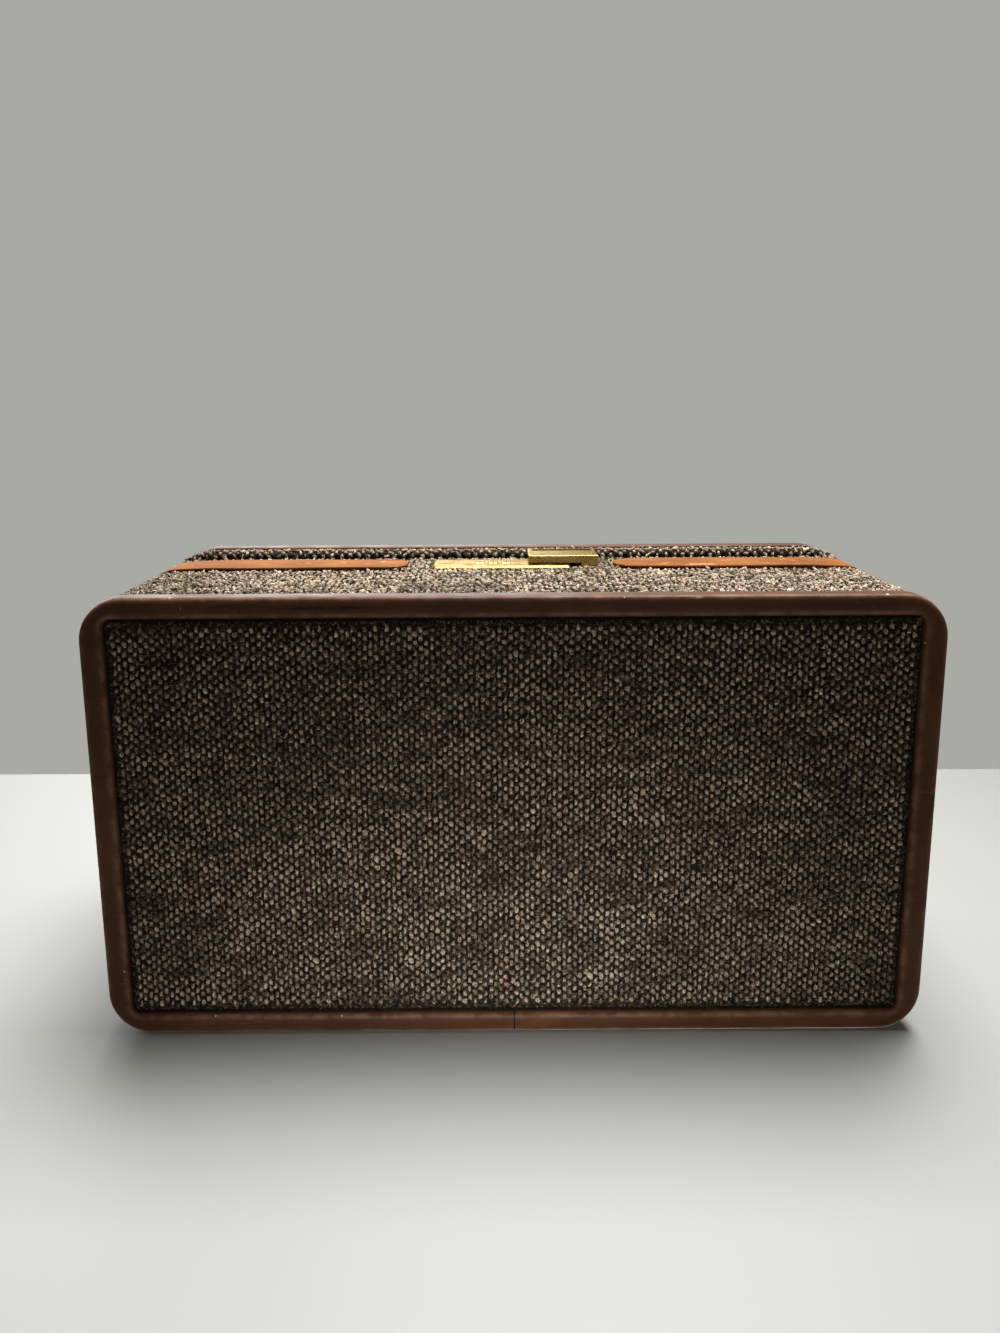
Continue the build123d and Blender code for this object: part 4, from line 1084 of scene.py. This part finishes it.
def make_pocket(name, node):
    """Satin pocket gathered under its elastic, with two sets of wandering folds."""
    low, high = place_of(node)
    way = 1 if low.y > 0 else -1
    wall = high.y if way > 0 else low.y
    deep = high.y - low.y
    bm = bmesh.new()
    bmesh.ops.create_grid(bm, x_segments=POCKET_STEPS[0], y_segments=POCKET_STEPS[1], size=1.0)
    for vert in bm.verts:
        across, up = vert.co.x, (vert.co.y + 1) / 2
        swell = math.sin(math.pi * min(max(up, 0), 1)) ** POCKET_CURVE
        fold = math.sin(across * WIDE_FOLDS + 2.1 * math.sin(across * 9 + 3 * up))
        fold += 0.5 * math.sin(across * FINE_FOLDS + 4 * math.sin(up * 5 + across * 4))
        off = deep * (POCKET_STAND + POCKET_SWELL * swell)
        off += deep * FOLD_DEPTH * fold * (0.35 + 0.65 * swell)
        vert.co = (across * (high.x - low.x) / 2, wall - way * min(off, deep - POCKET_THICK),
                   low.z + up * (high.z - low.z))
    if way < 0:
        bmesh.ops.reverse_faces(bm, faces=bm.faces)
    piece = finished(bm, name, SATIN, "box", "lining", node)
    thick = piece.modifiers.new("thick", "SOLIDIFY")
    thick.thickness = POCKET_THICK
    thick.offset = 0
    return piece


make_pocket("front_gathers", "pocket_front")
make_pocket("back_gathers", "pocket_back")


# Stage, light and camera
def plain_surface(name, colour):
    """A plain stage material."""
    material, tree, shader = new_material(name)[:3]
    fill(tree, shader, Base_Color=colour, Roughness=0.6)
    return material, tree, shader


def stage_plane(name, size, place, turn, material):
    """A square plane of the stage, turned about X."""
    bm = bmesh.new()
    bmesh.ops.create_grid(bm, x_segments=1, y_segments=1, size=size)
    bmesh.ops.rotate(bm, cent=(0, 0, 0), matrix=Matrix.Rotation(turn, 3, "X"), verts=bm.verts)
    bmesh.ops.translate(bm, vec=place, verts=bm.verts)
    mesh = mesh_of(bm, name)
    mesh.materials.append(material)
    plane = new_object(name, mesh)
    return plane


def see_through(tree, shader, hidden):
    """Make a surface clear wherever the hidden value is 1."""
    clear = add(tree, "ShaderNodeBsdfTransparent")
    mix_shaders(tree, hidden, shader, clear, "Material Output")


def camera_only(plane):
    """Hide a plane from everything but the camera."""
    for ray in ("shadow", "diffuse", "glossy", "transmission"):
        setattr(plane, "visible_" + ray, False)


STAGE_DROP = 0.3 * MM
FLOOR_HALF = 6.0
NEAR_HALF = 1.5
FAR_HALF = 0.2
FAR_STRETCH = 7.5


def make_stage():
    """Two surfaces, because the photograph shows the case lying on its back.

    The floor under the standing case is seen only from above. The table under the lying case
    is a plane at the back of the case. Its part below the floor is a plain surface. Its part
    above the floor shows only to camera rays that came up through the floor, so that it never
    stands behind the upright case in the other views.
    """
    pale = srgb(138, 139, 134)
    floor_material, tree, shader = plain_surface("floor", pale)
    behind = tree.nodes.new("ShaderNodeNewGeometry").outputs["Backfacing"]
    see_through(tree, shader, behind)
    camera_only(stage_plane("floor", FLOOR_HALF, (0, 0, -STAGE_DROP), 0.0, floor_material))

    table_y = MIDDLE_Y + HALF_Y + STAGE_DROP
    near_material = plain_surface("table", pale)[0]
    stage_plane("table_near", NEAR_HALF, (0, table_y, -NEAR_HALF - STAGE_DROP), math.pi / 2,
                near_material)
    far_material, tree, shader = plain_surface("table far", pale)
    path = tree.nodes.new("ShaderNodeLightPath")
    through = maths(tree, "GREATER_THAN", path.outputs["Transparent Depth"], 0.5)
    see_through(tree, shader, maths(tree, "SUBTRACT", 1.0, through))
    far = stage_plane("table_far", FAR_HALF, (0, table_y, FAR_HALF - STAGE_DROP), math.pi / 2,
                      far_material)
    for vert in far.data.vertices:
        vert.co.x *= FAR_STRETCH
    camera_only(far)


# Lamps by name, with place, target, size, power and spread in degrees
LAMPS = [
    ("ceiling", (0.22, -1.6, 0.44), (0, 0, 0.05), 1.0, 16.5, 70.0),
    ("low_glow", (0, -0.1, -0.9), (0, 0.13, 0), 0.12, 0.17, 26.0),
    ("studio", (-0.5, -0.5, 1.5), (0, 0, 0.1), 1.2, 18.0, 180.0),
    ("back_fill", (0.5, 1.5, 0.9), (0, 0, 0.1), 1.0, 16.0, 180.0),
]


def make_lamp(name, place, target, size, power, spread):
    """A soft square lamp that points at a place."""
    data = bpy.data.lights.new(name, "AREA")
    data.shape = "SQUARE"
    data.size = size
    data.energy = power
    data.spread = math.radians(spread)
    lamp = new_object(name, data)
    lamp.location = place
    aim = Vector(target) - Vector(place)
    lamp.rotation_euler = aim.to_track_quat("-Z", "Y").to_euler()


def make_lights():
    """The lamps and a pale room: two lamps for the photograph, two for the standing case."""
    for lamp in LAMPS:
        make_lamp(*lamp)
    world = bpy.data.worlds.new("room")
    bpy.context.scene.world = world
    world.use_nodes = True
    tree = world.node_tree
    path = tree.nodes.new("ShaderNodeLightPath")
    seen = maths(tree, "MAXIMUM", path.outputs["Is Camera Ray"], maths(
        tree, "MAXIMUM", path.outputs["Is Glossy Ray"], path.outputs["Is Transmission Ray"]))
    light = fill(tree, tree.nodes["Background"], Color=srgb(230, 227, 222), Strength=0.1)
    pale = add(tree, "ShaderNodeBackground", Color=srgb(170, 170, 164), Strength=1.0)
    mix_shaders(tree, seen, light, pale, "World Output")


CAMERA_PLACE = Vector((-5.9 * MM, MIDDLE_Y - 184.5 * MM, -496.0 * MM))
CAMERA_PITCH = math.radians(12.68)
CAMERA_ROLL = math.radians(0.32)
FOCAL_PIXELS = 1159
PHOTO_HEIGHT = 1333
SENSOR = 36.0


def make_camera():
    """The photograph's view: below the standing case, looking up at its bottom."""
    data = bpy.data.cameras.new("camera")
    data.sensor_fit = "AUTO"
    data.sensor_width = SENSOR
    data.lens = SENSOR * FOCAL_PIXELS / PHOTO_HEIGHT
    data.clip_start = 0.02
    camera = new_object("camera", data)
    forward = Vector((0, math.sin(CAMERA_PITCH), math.cos(CAMERA_PITCH)))
    up = Vector((0, -math.cos(CAMERA_PITCH), math.sin(CAMERA_PITCH)))
    up = Matrix.Rotation(CAMERA_ROLL, 3, forward) @ up
    right = forward.cross(up)
    basis = Matrix((right, up, -forward)).transposed()
    camera.matrix_world = Matrix.Translation(CAMERA_PLACE) @ basis.to_4x4()
    bpy.context.scene.camera = camera


make_stage()
make_lights()
make_camera()
bpy.context.scene.view_settings.view_transform = "Standard"
